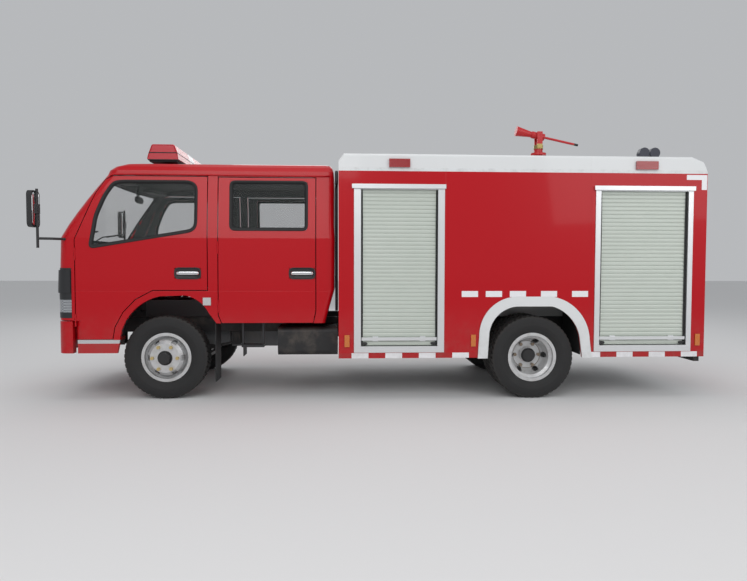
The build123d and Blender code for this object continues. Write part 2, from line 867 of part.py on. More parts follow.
rim_section_normal = (cos(radians(wheel_tilt)), 0, sin(radians(wheel_tilt)))
with BuildPart() as steering_wheel:
    with BuildSketch(Plane(origin=column_plane.origin, x_dir=(0, 1, 0), z_dir=rim_section_normal)):
        with Locations((205, 0)):
            Circle(15)
    revolve(axis=Axis(column_plane.origin, column_plane.z_dir))
    with BuildSketch(column_plane.offset(-11)):
        Circle(60)
        with PolarLocations(100, 3, start_angle=90):
            Rectangle(200, 34)
    extrude(amount=20)
save(steering_wheel.part, "steering_wheel")

# Seats: two in front and a bench behind
seat_base_z = arch_top_z + cab_wall
seats = None
for y0, y1 in ((180, 700), (-700, 120)):
    cushion = block(front_axle_x - 130, front_axle_x + 350, y0, y1, seat_base_z, seat_base_z + 150)
    back_outline = near((-130, seat_base_z), (-130, 1150), (-110, 1150), (-230, 1700))
    back_outline += near((-330, 1700), (-260, seat_base_z))
    back = outline_prism(back_outline, y1, y0)
    seats = cushion + back if seats is None else seats + cushion + back
seats += block(front_axle_x - 1400, front_axle_x - 930, -820, 820, cab_floor_z + cab_wall, 1180)
seats += outline_prism(near((-1400, 1180), (-1300, 1180), (-1370, 1720), (-1450, 1720)), 820, -820)
save(seats, "seats")

# Bumper with the valances below the front doors
bumper_inner_x = front_axle_x + 905


def plan_form(inset, low_z, high_z, front_x, half_width):
    """A bumper-like plan with a bulged front, between two heights."""
    side_x = front_x - inset - cab_bulge_radius + sqrt(cab_bulge_radius**2 - (half_width - inset) ** 2)
    with BuildPart() as form:
        with BuildSketch(Plane.XY.offset(low_z)) as plan:
            with BuildLine():
                ThreePointArc(
                    (side_x, inset - half_width), (front_x - inset, 0), (side_x, half_width - inset)
                )
                Polyline(
                    (side_x, half_width - inset),
                    (front_axle_x + 780, half_width - inset),
                    (front_axle_x + 780, inset - half_width),
                    (side_x, inset - half_width),
                )
            make_face()
            fillet(plan.vertices().sort_by(Axis.X)[2:], 100 - inset * 0.8)
        extrude(amount=high_z - low_z)
    return form.part


bumper = plan_form(0, bumper_bottom_z, bumper_top_z, cab_front_x + 6, cab_half_width)
bumper -= block(front_axle_x, bumper_inner_x, -860, 860, 300, 800)
save(bumper, "front_bumper")

valance = outline_prism(
    near((402, 426), (742, 426), (742, step_well_z - seat_gap), (376, step_well_z - seat_gap)), 920, 890
)
valance += block(front_axle_x + 440, front_axle_x + 740, 600, 890, step_well_z - 30, step_well_z - seat_gap)
stirrup = block(front_axle_x - 879, front_axle_x - 679, 800, 880, 468, 492)
stirrup += block(front_axle_x - 879, front_axle_x - 861, 820, 850, 492, sill_z - seat_gap)
stirrup += block(front_axle_x - 697, front_axle_x - 679, 820, 850, 492, sill_z - seat_gap)
save(both_sides(valance + stirrup), "entry_steps")

# Mirrors on their arms
mirror_front_x = front_axle_x + front_reach
with BuildPart() as mirror_head:
    with BuildSketch(cross_plane(mirror_front_x - 40)) as head:
        with Locations((1055, 1679)):
            Rectangle(150, 310)
        fillet(head.vertices(), 40)
    extrude(amount=40)
arm_x = mirror_front_x - 52
arms = mirror_head.part
arms += Pos(arm_x, 1055, 1600) * Cylinder(11, 500)
arms += block(arm_x - 14, mirror_front_x - 36, 1030, 1080, 1640, 1720)
with BuildPart() as arm_tube:
    with BuildLine() as arm_path:
        Polyline((front_axle_x + 800, 880, 1430), (front_axle_x + 900, 1010, 1430), (arm_x, 1055, 1430))
    with BuildSketch(Plane(origin=(front_axle_x + 800, 880, 1430), z_dir=(100, 130, 0))):
        Circle(11)
    sweep(transition=Transition.ROUND)
arms += arm_tube.part
arms -= cab_outer
save(both_sides(arms), "mirrors")

# Light bar on the cab roof
with BuildPart() as light_bar:
    with BuildSketch(side_plane(590)) as bar_section:
        with BuildLine():
            Polyline(*near((-52, 2176), (-62, 2190), (-52, 2246), (-24, 2326), (184, 2326)))
            Polyline(*near((184, 2326), (214, 2246), (224, 2190), (214, 2176), (-52, 2176)))
        make_face()
        fillet(bar_section.vertices().filter_by(lambda v: v.Y > 2325), 24)
    extrude(amount=1180)
    fillet(light_bar.faces().sort_by(Axis.Y)[-1].edges().filter_by(lambda e: e.center().Z > 2310), 18)
    fillet(light_bar.faces().sort_by(Axis.Y)[0].edges().filter_by(lambda e: e.center().Z > 2310), 18)
    for y in (-400, -200, 0, 200, 400):
        with Locations((front_axle_x + 81, y, 2246)):
            Box(300, 8, 10, mode=Mode.SUBTRACT)
    with Locations((front_axle_x + 81, 0, 2171)):
        Box(250, 1150, 12)
bar = light_bar.part
for y in (-380, 380):
    bar += block(front_axle_x + 40, front_axle_x + 120, y - 40, y + 40, roof_top_z, 2167)
save(bar, "light_bar")

# Body: inner structure with lockers front and rear and the wheel wells between
front_bulkhead_x = front_axle_x - 2540
rear_bulkhead_x = front_axle_x - 3785
inner_half = body_half_width - skin
locker_edge_y = 945 - seat_gap
shutter_low_z = 487
shutter_high_z = 1875
deck_z = body_top_z - skin


def bulkhead(x, thickness):
    """Cross wall of the body from its lockers' floor to its deck, open over the rails."""
    with BuildPart() as wall:
        with BuildSketch(cross_plane(x)):
            with BuildLine():
                Polyline(
                    (-inner_half, locker_floor_z),
                    (-well_inner_y, locker_floor_z),
                    (-well_inner_y, deck_floor_z),
                    (well_inner_y, deck_floor_z),
                    (well_inner_y, locker_floor_z),
                    (inner_half, locker_floor_z),
                    (inner_half, deck_z),
                    (-inner_half, deck_z),
                    close=True,
                )
            make_face()
        extrude(amount=thickness)
    return wall.part


tray_z = 880
body = bulkhead(body_front_x - skin, skin)
body += bulkhead(front_bulkhead_x, skin)
body += bulkhead(rear_bulkhead_x - skin, skin)
for x0, x1 in ((front_bulkhead_x, body_front_x), (body_rear_x, rear_bulkhead_x)):
    body += block(x0, x1, -well_inner_y - skin, well_inner_y + skin, deck_floor_z, deck_floor_z + skin)
    for side in (-1, 1):
        body += block(
            x0, x1, side * (well_inner_y + skin), side * well_inner_y, locker_floor_z, deck_floor_z + skin
        )
        body += block(
            x0, x1, side * locker_edge_y, side * well_inner_y, locker_floor_z, locker_floor_z + skin
        )
body += block(front_bulkhead_x, rear_bulkhead_x, -inner_half, inner_half, tray_z, tray_z + skin)
for side in (-1, 1):
    body += block(body_rear_x, body_front_x, side * 335, side * 395, rail_top_z + seat_gap, deck_floor_z)
    body += block(rear_bulkhead_x, front_bulkhead_x, side * 470, side * 490, deck_floor_z, tray_z)
body += block(rear_bulkhead_x, front_bulkhead_x, -490, 490, deck_floor_z, deck_floor_z + skin)
hatch_half_width = 600
hatch_low_z = 860
hatch_high_z = 1900
rear_wall = bulkhead(body_rear_x, skin)
rear_wall -= block(
    body_rear_x - 10, body_rear_x + 40, -hatch_half_width, hatch_half_width, hatch_low_z, hatch_high_z
)
hatch_hinge_z = hatch_high_z + 30
hatch_thickness = 20
gutter_z = hatch_hinge_z + 9.6
rear_wall += block(body_rear_x - 24, body_rear_x, -hatch_half_width, hatch_half_width, gutter_z, gutter_z + 8)
body += rear_wall
for x in (
    body_front_x - skin - seat_gap,
    front_bulkhead_x + skin,
    front_bulkhead_x - seat_gap,
    rear_bulkhead_x,
    rear_bulkhead_x - skin - seat_gap,
    body_rear_x + skin,
):
    body -= block(x, x + seat_gap, -inner_half, inner_half, rail_bottom_z, deck_floor_z + 150)
    body -= both_sides(block(x, x + seat_gap, well_inner_y, inner_half, locker_floor_z, deck_floor_z))
for x0, x1 in (
    (front_bulkhead_x + skin, body_front_x - skin),
    (body_rear_x + skin, rear_bulkhead_x - skin),
):
    seam_y = well_inner_y + skin
    body -= both_sides(
        block(x0, x1, well_inner_y - seat_gap, well_inner_y, deck_floor_z, deck_floor_z + skin)
        + block(x0, x1, seam_y, seam_y + seat_gap, locker_floor_z, locker_floor_z + skin)
    )
body -= block(rear_bulkhead_x, front_bulkhead_x, -490, 490, tray_z - seat_gap, tray_z)
save(body, "body_shell")

# Body sides: outer skins with the lockers' openings and the wheel arches
locker_doors = {"front": (-2490, -1685, -2430, -1747), "rear": (-4750, -3851, -4704, -3900)}


def rear_arch(grow):
    """Side outline of the rear wheel arch, grown by grow, down past the body's lower edge."""
    with BuildSketch(side_plane(body_half_width + 30)) as arch:
        with BuildLine():
            Polyline(*near((-3747 - grow, 300), (-3747 - grow, 380), (-3726 - grow, 535)))
            ThreePointArc(
                *near((-3726 - grow, 535), (-3630 - grow * 0.8, 745 + grow * 0.7), (-3465, 843 + grow))
            )
            Line(*near((-3465, 843 + grow), (-3137, 843 + grow)))
            ThreePointArc(
                *near((-3137, 843 + grow), (-2980 + grow * 0.8, 772 + grow * 0.7), (-2892 + grow, 600))
            )
            Polyline(
                *near((-2892 + grow, 600), (-2879 + grow, 380), (-2879 + grow, 300), (-3747 - grow, 300))
            )
        make_face()
    return arch.sketch


def arch_prism(grow, y_outer, y_inner):
    """The rear arch outline as a solid between two distances from the middle."""
    with BuildPart() as solid:
        add(extrude(rear_arch(grow), amount=body_half_width + 30 - y_inner))
    return solid.part - block(body_rear_x, body_front_x, y_outer, y_outer + 100, 0, 1200)


side_skin = block(body_rear_x, body_front_x, inner_half, body_half_width, body_bottom_z, body_top_z)
for low_x, high_x, _, _ in locker_doors.values():
    side_skin -= block(
        front_axle_x + low_x, front_axle_x + high_x, inner_half - 5, body_half_width + 5, 430, shutter_high_z + 6
    )
side_skin -= arch_prism(0, body_half_width + 5, inner_half - 5)
save(both_sides(side_skin), "body_sides")

trim = arch_prism(85, body_half_width + 12, body_half_width) - arch_prism(
    -3, body_half_width + 20, inner_half - 5
)
trim -= block(body_rear_x, body_front_x, 900, 1100, 200, 374)
save(both_sides(trim), "arch_trims")

# Deck with the pale coaming round it
coaming_rounding = 140
coaming_points = [
    (body_front_x, body_top_z),
    (body_front_x, coaming_top_z - 60),
    (body_front_x - 45, coaming_top_z),
    (body_rear_x + coaming_rounding, coaming_top_z),
    (body_rear_x + 0.29 * coaming_rounding, coaming_top_z - 0.29 * coaming_rounding),
    (body_rear_x, coaming_top_z - coaming_rounding),
    (body_rear_x, body_top_z),
]
coaming = outline_prism(coaming_points, body_half_width, -body_half_width)
coaming = fillet(
    coaming.edges().filter_by(lambda e: abs(abs(e.center().Y) - body_half_width) < 1 and e.center().Z > 2150),
    22,
)
coaming -= block(body_rear_x + 45, body_front_x - 45, -960, 960, body_top_z + skin, coaming_top_z + 50)
save(coaming, "roof_deck")

# Water tank between the lockers, and the pump in the rear one
save(block(rear_bulkhead_x + 10, front_bulkhead_x - 10, -960, 960, 905, deck_z - 10), "water_tank")
pump = block(body_rear_x + 200, rear_bulkhead_x - 300, -330, 330, deck_floor_z + skin, 1350)
save(pump, "pump")

# Shutters with their frames
frame_y = (945, 1006)
curtain_y = (964, 976)
slat_count = 39


def slatted_curtain(x0, x1):
    """Curtain of flat slats between two X values, a shallow hinge groove under each."""
    low_z = shutter_low_z + 6
    pitch = (shutter_high_z - seat_gap - low_z) / slat_count
    groove = 0.16 * pitch
    points = [(curtain_y[0], low_z)]
    for slat in range(slat_count):
        foot = low_z + slat * pitch
        points += [(curtain_y[1] - 4, foot), (curtain_y[1] - 4, foot + groove)]
        points += [(curtain_y[1], foot + 1.6 * groove), (curtain_y[1], foot + pitch - 0.4 * groove)]
    points += [(curtain_y[1] - 4, shutter_high_z - seat_gap), (curtain_y[0], shutter_high_z - seat_gap)]
    with BuildPart() as slats:
        with BuildSketch(cross_plane(x0)):
            with BuildLine():
                Polyline(*points, close=True)
            make_face()
        extrude(amount=x1 - x0)
    return slats.part


frames = None
for end, (low_x, high_x, curtain_low_x, curtain_high_x) in locker_doors.items():
    x0, x1 = front_axle_x + low_x + 1, front_axle_x + high_x - 1
    c0, c1 = front_axle_x + curtain_low_x, front_axle_x + curtain_high_x
    surround = block(x0, x1, frame_y[0], frame_y[1], 431, shutter_high_z + 5)
    surround -= block(c0, c1, 900, 1100, shutter_low_z, shutter_high_z)
    surround -= block(c0 - 20, c1 + 20, curtain_y[0] - 6, curtain_y[1] + 6, shutter_low_z, shutter_high_z)
    surround += block(
        x0 - 8, x1 + 18, body_half_width, body_half_width + 26, shutter_high_z + 6, shutter_high_z + 44
    )
    frames = surround if frames is None else frames + surround
    curtain = slatted_curtain(c0 - 14, c1 + 14)
    bar_low_z = shutter_low_z + 50
    lift_bar = block(c0 + 6, c1 - 6, curtain_y[1] + 7, curtain_y[1] + 21, bar_low_z, bar_low_z + 28)
    for x in (c0 + 130, c1 - 130):
        lift_bar += block(x - 25, x + 25, curtain_y[1], curtain_y[1] + 8, bar_low_z - 8, bar_low_z + 36)
    for word, turned_over in (("left", False), ("right", True)):
        for label, piece in (("curtain", curtain), ("lift_bar", lift_bar)):
            save(mirror(piece, about=Plane.XZ) if turned_over else piece, f"{label}_{end}_{word}")
save(both_sides(frames), "shutter_frames")

# Rear hatch, hinged along its top edge
rear_hatch = block(
    body_rear_x - hatch_thickness,
    body_rear_x - 0.5,
    -hatch_half_width - 20,
    hatch_half_width + 20,
    hatch_low_z - 20,
    hatch_hinge_z - 5,
)
with BuildPart() as hatch_tube:
    with BuildSketch(side_plane(hatch_half_width)):
        with Locations((body_rear_x - hatch_thickness / 2, hatch_hinge_z)):
            Circle(9)
    extrude(amount=2 * hatch_half_width)
save(rear_hatch + hatch_tube.part, "rear_hatch")

# Monitor on the deck
monitor_x = front_axle_x - 3640
pan_z = 2420
pitch_z = 2562
neck_radius = 48
with BuildPart() as monitor_base:
    with BuildSketch(Plane.XY.offset(body_top_z + skin)):
        with Locations((monitor_x, 0)):
            Circle(110)
    extrude(amount=14)
    with BuildSketch(Plane.XY.offset(body_top_z + skin)):
        with Locations((monitor_x, 0)):
            Circle(44)
    extrude(amount=pan_z - body_top_z - skin)
    with BuildSketch(Plane.XY.offset(pan_z - 60)):
        with Locations((monitor_x, 0)):
            Circle(80)
    extrude(amount=22)
save(monitor_base.part, "monitor_base")

with BuildPart() as monitor_neck:
    with BuildSketch(Plane.XY.offset(pan_z + 0.5)):
        with Locations((monitor_x, 0)):
            Circle(neck_radius)
    extrude(amount=45)
    for side in (-1, 1):
        with Locations((monitor_x, side * (neck_radius - 1), (pan_z + pitch_z + 50) / 2)):
            Box(56, 12, pitch_z + 30 - pan_z)
save(monitor_neck.part, "monitor_neck")

barrel_tilt = 12
barrel_plane = Plane(
    origin=(monitor_x, 0, pitch_z),
    x_dir=(0, 1, 0),
    z_dir=(cos(radians(barrel_tilt)), 0, sin(radians(barrel_tilt))),
)
with BuildPart() as monitor_barrel:
    with BuildSketch(barrel_plane.offset(-60)):
        Circle(36)
    extrude(amount=140)
    with BuildSketch(barrel_plane.offset(80)):
        Circle(28)
    with BuildSketch(barrel_plane.offset(245)):
        Circle(52)
    loft()
    with BuildSketch(barrel_plane.offset(-60)):
        Circle(12)
    extrude(amount=-370)
    with BuildSketch(side_plane(neck_radius - 7.5)):
        with Locations((monitor_x, pitch_z)):
            Circle(22)
    extrude(amount=2 * (neck_radius - 7.5))
save(monitor_barrel.part, "monitor_barrel")

# Lamps on the body, rear lamps, and marker lamps
lamps = block(front_axle_x - 2178, front_axle_x - 1993, 1000, 1022, 2067, 2140)
lamps += block(front_axle_x - 4411, front_axle_x - 4212, 1000, 1022, 2067, 2140)
for x0, x1 in ((-1646, -1602), (-2774, -2732), (-4833, -4790)):
    lamps += block(front_axle_x + x0, front_axle_x + x1, 1000, 1010, 482, 588)
lamps += block(front_axle_x - 421, front_axle_x - 352, cab_half_width, cab_half_width + 10, 850, 918)
lamps += block(body_rear_x - 16, body_rear_x, 700, 940, 560, 700)
save(both_sides(lamps), "marker_lamps")

with BuildPart() as work_lamp:
    for lamp_x in (-4613, -4509):
        with BuildSketch(side_plane(560)):
            with Locations((front_axle_x + lamp_x, 2300)):
                Circle(50)
        extrude(amount=60)
        with BuildSketch(side_plane(500)):
            with Locations((front_axle_x + lamp_x, 2300)):
                Circle(50)
        with BuildSketch(side_plane(440)):
            with Locations((front_axle_x + lamp_x, 2300)):
                Circle(26)
        loft()
    with Locations((front_axle_x - 4561, 500, 2236)):
        Box(150, 40, 30)
    with Locations((front_axle_x - 4561, 500, (body_top_z + skin + 2230) / 2)):
        Box(44, 36, 2230 - body_top_z - skin)
save(both_sides(work_lamp.part), "work_lamps")

# Rear ladder on the right of the hatch
ladder_front_x = front_axle_x - rear_reach
rail_y = (-930, -680)
tube_radius = 15
with BuildPart() as ladder:
    for y in rail_y:
        with Locations((ladder_front_x + tube_radius, y, 1500)):
            Cylinder(tube_radius, 1480)
        for z in (800, 1400, 1960):
            with Locations(Location((ladder_front_x + tube_radius, y, z), (0, 90, 0))):
                Cylinder(
                    12,
                    body_rear_x - ladder_front_x - tube_radius,
                    align=(Align.CENTER, Align.CENTER, Align.MIN),
                )
    for step in range(5):
        with Locations(
            Location((ladder_front_x + tube_radius, sum(rail_y) / 2, 862 + 280 * step), (90, 0, 0))
        ):
            Cylinder(12, rail_y[1] - rail_y[0])
save(ladder.part, "rear_ladder")
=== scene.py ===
import bmesh
import bpy
import numpy as np
from mathutils import Matrix, Vector


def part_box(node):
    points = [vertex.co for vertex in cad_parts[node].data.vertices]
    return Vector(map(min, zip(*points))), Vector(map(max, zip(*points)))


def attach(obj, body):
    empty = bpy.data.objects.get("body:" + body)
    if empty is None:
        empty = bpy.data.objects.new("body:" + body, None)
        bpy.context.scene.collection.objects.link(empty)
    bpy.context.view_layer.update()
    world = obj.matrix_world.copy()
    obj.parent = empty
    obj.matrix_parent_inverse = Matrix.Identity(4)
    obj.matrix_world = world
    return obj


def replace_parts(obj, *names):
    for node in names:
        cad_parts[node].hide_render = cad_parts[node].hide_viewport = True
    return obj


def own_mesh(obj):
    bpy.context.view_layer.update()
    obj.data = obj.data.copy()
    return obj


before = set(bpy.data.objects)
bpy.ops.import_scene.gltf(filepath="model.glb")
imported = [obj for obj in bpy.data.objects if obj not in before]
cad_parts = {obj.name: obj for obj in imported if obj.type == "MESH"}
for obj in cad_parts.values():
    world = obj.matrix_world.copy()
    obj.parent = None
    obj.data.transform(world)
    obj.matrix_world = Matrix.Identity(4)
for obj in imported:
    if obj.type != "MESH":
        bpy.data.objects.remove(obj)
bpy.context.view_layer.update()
print("frame loaded:", len(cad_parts), "nodes")

# Places that everything is measured from, in metres
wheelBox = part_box("tyre_front_left")
frontAxleX = (wheelBox[0][0] + wheelBox[1][0]) / 2
wheelZ = (wheelBox[0][2] + wheelBox[1][2]) / 2
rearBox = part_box("tyres_rear_left")
rearAxleX = (rearBox[0][0] + rearBox[1][0]) / 2
sides = {"left": 1, "right": -1}

# Cab surfaces: upright to the belt, leaning in and back above it, with a front that bulges forwards
cabShape = {
    "halfWidth": 0.930,
    "lean": 0.094,
    "belt": 1.454,
    "beltFront": 0.967,
    "slope": 0.62,
    "curve": 0.22,
    "bulge": 5.2,
}


def cabSide(z):
    # half width, less the lean for each metre above the belt
    return cabShape["halfWidth"] - cabShape["lean"] * np.maximum(0, z - cabShape["belt"])


def cabFront(y, z):
    # front at the belt, less slope times rise and curve times rise squared, less an arc across the cab
    rise = np.maximum(0, z - cabShape["belt"])
    front = cabShape["beltFront"] - cabShape["slope"] * rise - cabShape["curve"] * rise**2
    return frontAxleX + front - y**2 / (2 * cabShape["bulge"])


# Shader maths: a socket that can be written into ordinary expressions
class Value:
    def __init__(self, paint, socket):
        self.paint = paint
        self.socket = socket

    def math(self, operation, *others):
        return self.paint.node("ShaderNodeMath", {"operation": operation}, self, *others)

    def __add__(self, other):
        return self.math("ADD", other)

    def __sub__(self, other):
        return self.math("SUBTRACT", other)

    def __mul__(self, other):
        return self.math("MULTIPLY", other)

    def __truediv__(self, other):
        return self.math("DIVIDE", other)

    def __radd__(self, other):
        return self + other

    def __rmul__(self, other):
        return self * other

    def __rsub__(self, other):
        return self.paint.node("ShaderNodeMath", {"operation": "SUBTRACT"}, other, self)

    def power(self, other):
        return self.math("POWER", other)

    def above(self, limit):
        return self.math("GREATER_THAN", limit)

    def below(self, limit):
        return self.math("LESS_THAN", limit)

    def absolute(self):
        return self.math("ABSOLUTE")

    def wave(self):
        return self.math("SINE")

    def larger(self, other):
        return self.math("MAXIMUM", other)

    def smaller(self, other):
        return self.math("MINIMUM", other)

    def within(self, low, high):
        return self.above(low) * self.below(high)

    def smooth(self, low, high):
        settings = {"interpolation_type": "SMOOTHSTEP"}
        return self.paint.node("ShaderNodeMapRange", settings, self, low, high, 0.0, 1.0)


# One material under construction, with its object coordinates ready
class Paint:
    def __init__(self, name):
        self.material = bpy.data.materials.new(name)
        self.material.use_nodes = True
        self.tree = self.material.node_tree
        self.shader = self.tree.nodes["Principled BSDF"]
        self.coords = Value(self, self.tree.nodes.new("ShaderNodeTexCoord").outputs["Object"])
        split = self.tree.nodes.new("ShaderNodeSeparateXYZ")
        self.tree.links.new(self.coords.socket, split.inputs[0])
        self.x, self.y, self.z = (Value(self, split.outputs[k]) for k in range(3))

    def plug(self, socket, value):
        if isinstance(value, Value):
            self.tree.links.new(value.socket, socket)
        elif value is not None:
            socket.default_value = value

    def node(self, kind, settings, *values, out=0, **named):
        made = self.tree.nodes.new(kind)
        for key, value in settings.items():
            setattr(made, key, value)
        for socket, value in zip(made.inputs, values):
            self.plug(socket, value)
        for key, value in named.items():
            self.plug(made.inputs[key.replace("_", " ")], value)
        return Value(self, made.outputs[out])

    def noise(self, scale, detail=3.0, rough=0.5, where=None):
        named = {"Vector": where or self.coords, "Scale": scale, "Detail": detail, "Roughness": rough}
        return self.node("ShaderNodeTexNoise", {}, **named)

    def stretched(self, sx, sy, sz):
        return self.node("ShaderNodeVectorMath", {"operation": "MULTIPLY"}, self.coords, (sx, sy, sz))

    def mix(self, factor, first, second):
        made = self.tree.nodes.new("ShaderNodeMix")
        made.data_type = "RGBA"
        self.plug(made.inputs[0], factor)
        for socket, value in ((made.inputs[6], first), (made.inputs[7], second)):
            self.plug(socket, value if isinstance(value, Value) else (*value, 1.0))
        return Value(self, made.outputs[2])

    def fixed(self, **values):
        for key, value in values.items():
            self.shader.inputs[key.replace("_", " ")].default_value = value

    def colour(self, value):
        self.plug(self.shader.inputs["Base Color"], value if isinstance(value, Value) else (*value, 1.0))

    def rough(self, value):
        self.plug(self.shader.inputs["Roughness"], value)

    def bump(self, height, strength, distance):
        bumped = self.node("ShaderNodeBump", {}, Strength=strength, Distance=distance, Height=height)
        self.plug(self.shader.inputs["Normal"], bumped)


# Paints and finishes
finish = {
    "red": (0.47, 0.002, 0.008),
    "redTape": (0.42, 0.01, 0.014),
    "whiteTape": (0.82, 0.82, 0.84),
    "pale": (0.74, 0.755, 0.76),
    "dust": (0.16, 0.13, 0.105),
    "black": (0.016, 0.016, 0.018),
}


def paintedMetal(name, colour, rough=0.26, coat=0.3, dustTop=0.9, seams=None, extra=None):
    # gloss paint: soft cloudiness, fine orange peel, and road dust that thins out upwards
    paint = Paint(name)
    cloud = paint.noise(1.7, 4.0)
    dust = (1.0 - paint.z.smooth(0.15, dustTop)) * paint.noise(9.0, 6.0, 0.65).smooth(0.35, 0.8)
    base = paint.mix(cloud * 0.25, colour, tuple(0.82 * c for c in colour))
    if extra:
        base = extra(paint, base)
    paint.colour(paint.mix(dust * 0.4, base, finish["dust"]))
    paint.rough(cloud * 0.06 + rough + dust * 0.35)
    paint.fixed(Coat_Weight=coat, Coat_Roughness=0.06, Specular_IOR_Level=0.2)
    peel = paint.noise(160.0, 1.0) * 0.02
    if seams:
        peel = peel - seams(paint)
    paint.bump(peel, 0.35, 0.004)
    return paint.material


def boxMask(paint, low, high):
    # one where the object coordinates lie between the two corners along X and Z
    return paint.x.within(low[0], high[0]) * paint.z.within(low[1], high[1])


bodyMarks = {
    "lowTape": (0.370, 0.427),
    "tapeStep": 0.30,
    "sideTape": (0.925, 0.978),
    "tapeStarts": (-2.793, -3.010, -3.227, -3.510, -3.794),
    "tapeLength": 0.147,
    "cornerTape": ((-4.873, 1.980), (-4.684, 2.024)),
    "cornerLeg": ((-4.873, 1.891), (-4.824, 2.024)),
    "seams": (-2.497, -3.809),
    "seamHalf": 0.004,
}


def bodyTapes(paint, base):
    # white reflective blocks along the side, a red and white band along the foot
    marks = bodyMarks
    white = None
    for start in marks["tapeStarts"]:
        low = (frontAxleX + start, marks["sideTape"][0])
        mask = boxMask(paint, low, (low[0] + marks["tapeLength"], marks["sideTape"][1]))
        white = mask if white is None else white.larger(mask)
    for low, high in (marks["cornerTape"], marks["cornerLeg"]):
        white = white.larger(boxMask(paint, (frontAxleX + low[0], low[1]), (frontAxleX + high[0], high[1])))
    foot = paint.z.within(*marks["lowTape"])
    step = (paint.x / marks["tapeStep"]).math("FRACT").above(0.5)
    comb = paint.mix(step, finish["redTape"], finish["whiteTape"])
    tape = paint.mix(white, base, finish["whiteTape"])
    return paint.mix(foot, tape, comb)


def bodySeams(paint):
    # thin upright grooves between the side panels
    groove = None
    for x in bodyMarks["seams"]:
        line = 1.0 - (paint.x - (frontAxleX + x)).absolute().smooth(0.0, bodyMarks["seamHalf"])
        groove = line if groove is None else groove + line
    return groove


def plainPlastic(name, colour, rough=0.5, grain=420.0, strength=0.25):
    # moulded plastic: a fine grain and a slight unevenness of shade
    paint = Paint(name)
    cloud = paint.noise(6.0, 3.0)
    paint.colour(paint.mix(cloud, colour, tuple(0.7 * c + 0.004 for c in colour)))
    paint.rough(cloud * 0.12 + rough)
    paint.bump(paint.noise(grain, 2.0), strength, 0.0006)
    return paint.material


def castMetal(name, colour, rough=0.6):
    # painted castings and frame steel: pitted, with patches of dust
    paint = Paint(name)
    patch = paint.noise(5.0, 6.0, 0.6)
    dust = patch.smooth(0.45, 0.75)
    paint.colour(paint.mix(dust * 0.45, colour, finish["dust"]))
    paint.rough(patch * 0.2 + rough - 0.1)
    paint.bump(paint.noise(120.0, 4.0), 0.3, 0.0012)
    return paint.material


def metal(name, colour, rough=0.3, brush=None, spot=0.2):
    # bare metal: brushed along one axis where asked, clouded with handling
    paint = Paint(name)
    cloud = paint.noise(8.0, 4.0)
    paint.colour(paint.mix(cloud * spot, colour, tuple(0.6 * c for c in colour)))
    paint.fixed(Metallic=1.0)
    if brush:
        streak = paint.noise(60.0, 2.0, 0.5, paint.stretched(*brush))
        paint.rough(streak * 0.16 + cloud * 0.06 + rough - 0.08)
        paint.bump(streak, 0.12, 0.0005)
    else:
        paint.rough(cloud * 0.14 + rough - 0.05)
        paint.bump(paint.noise(200.0, 2.0), 0.08, 0.0005)
    return paint.material


def axleRadius(paint):
    # distance from the line of the nearer axle
    outX = (paint.x - rearAxleX).absolute().smaller((paint.x - frontAxleX).absolute())
    outZ = paint.z - wheelZ
    return (outX * outX + outZ * outZ).power(0.5)


tyreMarks = {"rings": (0.262, 0.285), "ringPitch": 520.0, "shoulder": (0.345, 0.372)}


def tyreRubber():
    # dark rubber: dusty shoulders and faint rings moulded in the sidewall
    paint = Paint("tyreRubber")
    radius = axleRadius(paint)
    rings = ((radius * tyreMarks["ringPitch"]).wave() * 0.5 + 0.5) * radius.within(*tyreMarks["rings"])
    patch = paint.noise(11.0, 5.0, 0.6)
    tread = radius.smooth(*tyreMarks["shoulder"])
    shade = paint.mix(patch * 0.5, (0.012, 0.012, 0.013), (0.024, 0.023, 0.022))
    paint.colour(paint.mix(tread * patch * 0.7, shade, (0.055, 0.05, 0.045)))
    paint.rough(patch * 0.2 + 0.62)
    paint.bump(rings + paint.noise(300.0, 2.0) * 0.2, 0.5, 0.0012)
    return paint.material


def lens(name, colour, ribs=900.0):
    # moulded lens: fine flutes both ways over a deep colour
    paint = Paint(name)
    flutes = (paint.x * ribs).wave() * (paint.z * ribs * 0.6).wave()
    paint.colour(paint.mix(flutes * 0.5 + 0.5, colour, tuple(0.55 * c for c in colour)))
    paint.rough(paint.noise(30.0, 2.0) * 0.08 + 0.1)
    paint.fixed(Coat_Weight=0.8, Coat_Roughness=0.04)
    paint.bump(flutes, 0.2, 0.001)
    return paint.material


markerMarks = {
    "rearX": -4.87,
    "redFromY": 0.78,
    "amberFromY": 0.86,
    "repeaterZ": (0.7, 1.5),
    "repeaterX": -0.6,
    "highZ": 1.5,
    "amber": (0.75, 0.2, 0.015),
    "red": (0.4, 0.006, 0.012),
    "clear": (0.7, 0.7, 0.7),
}


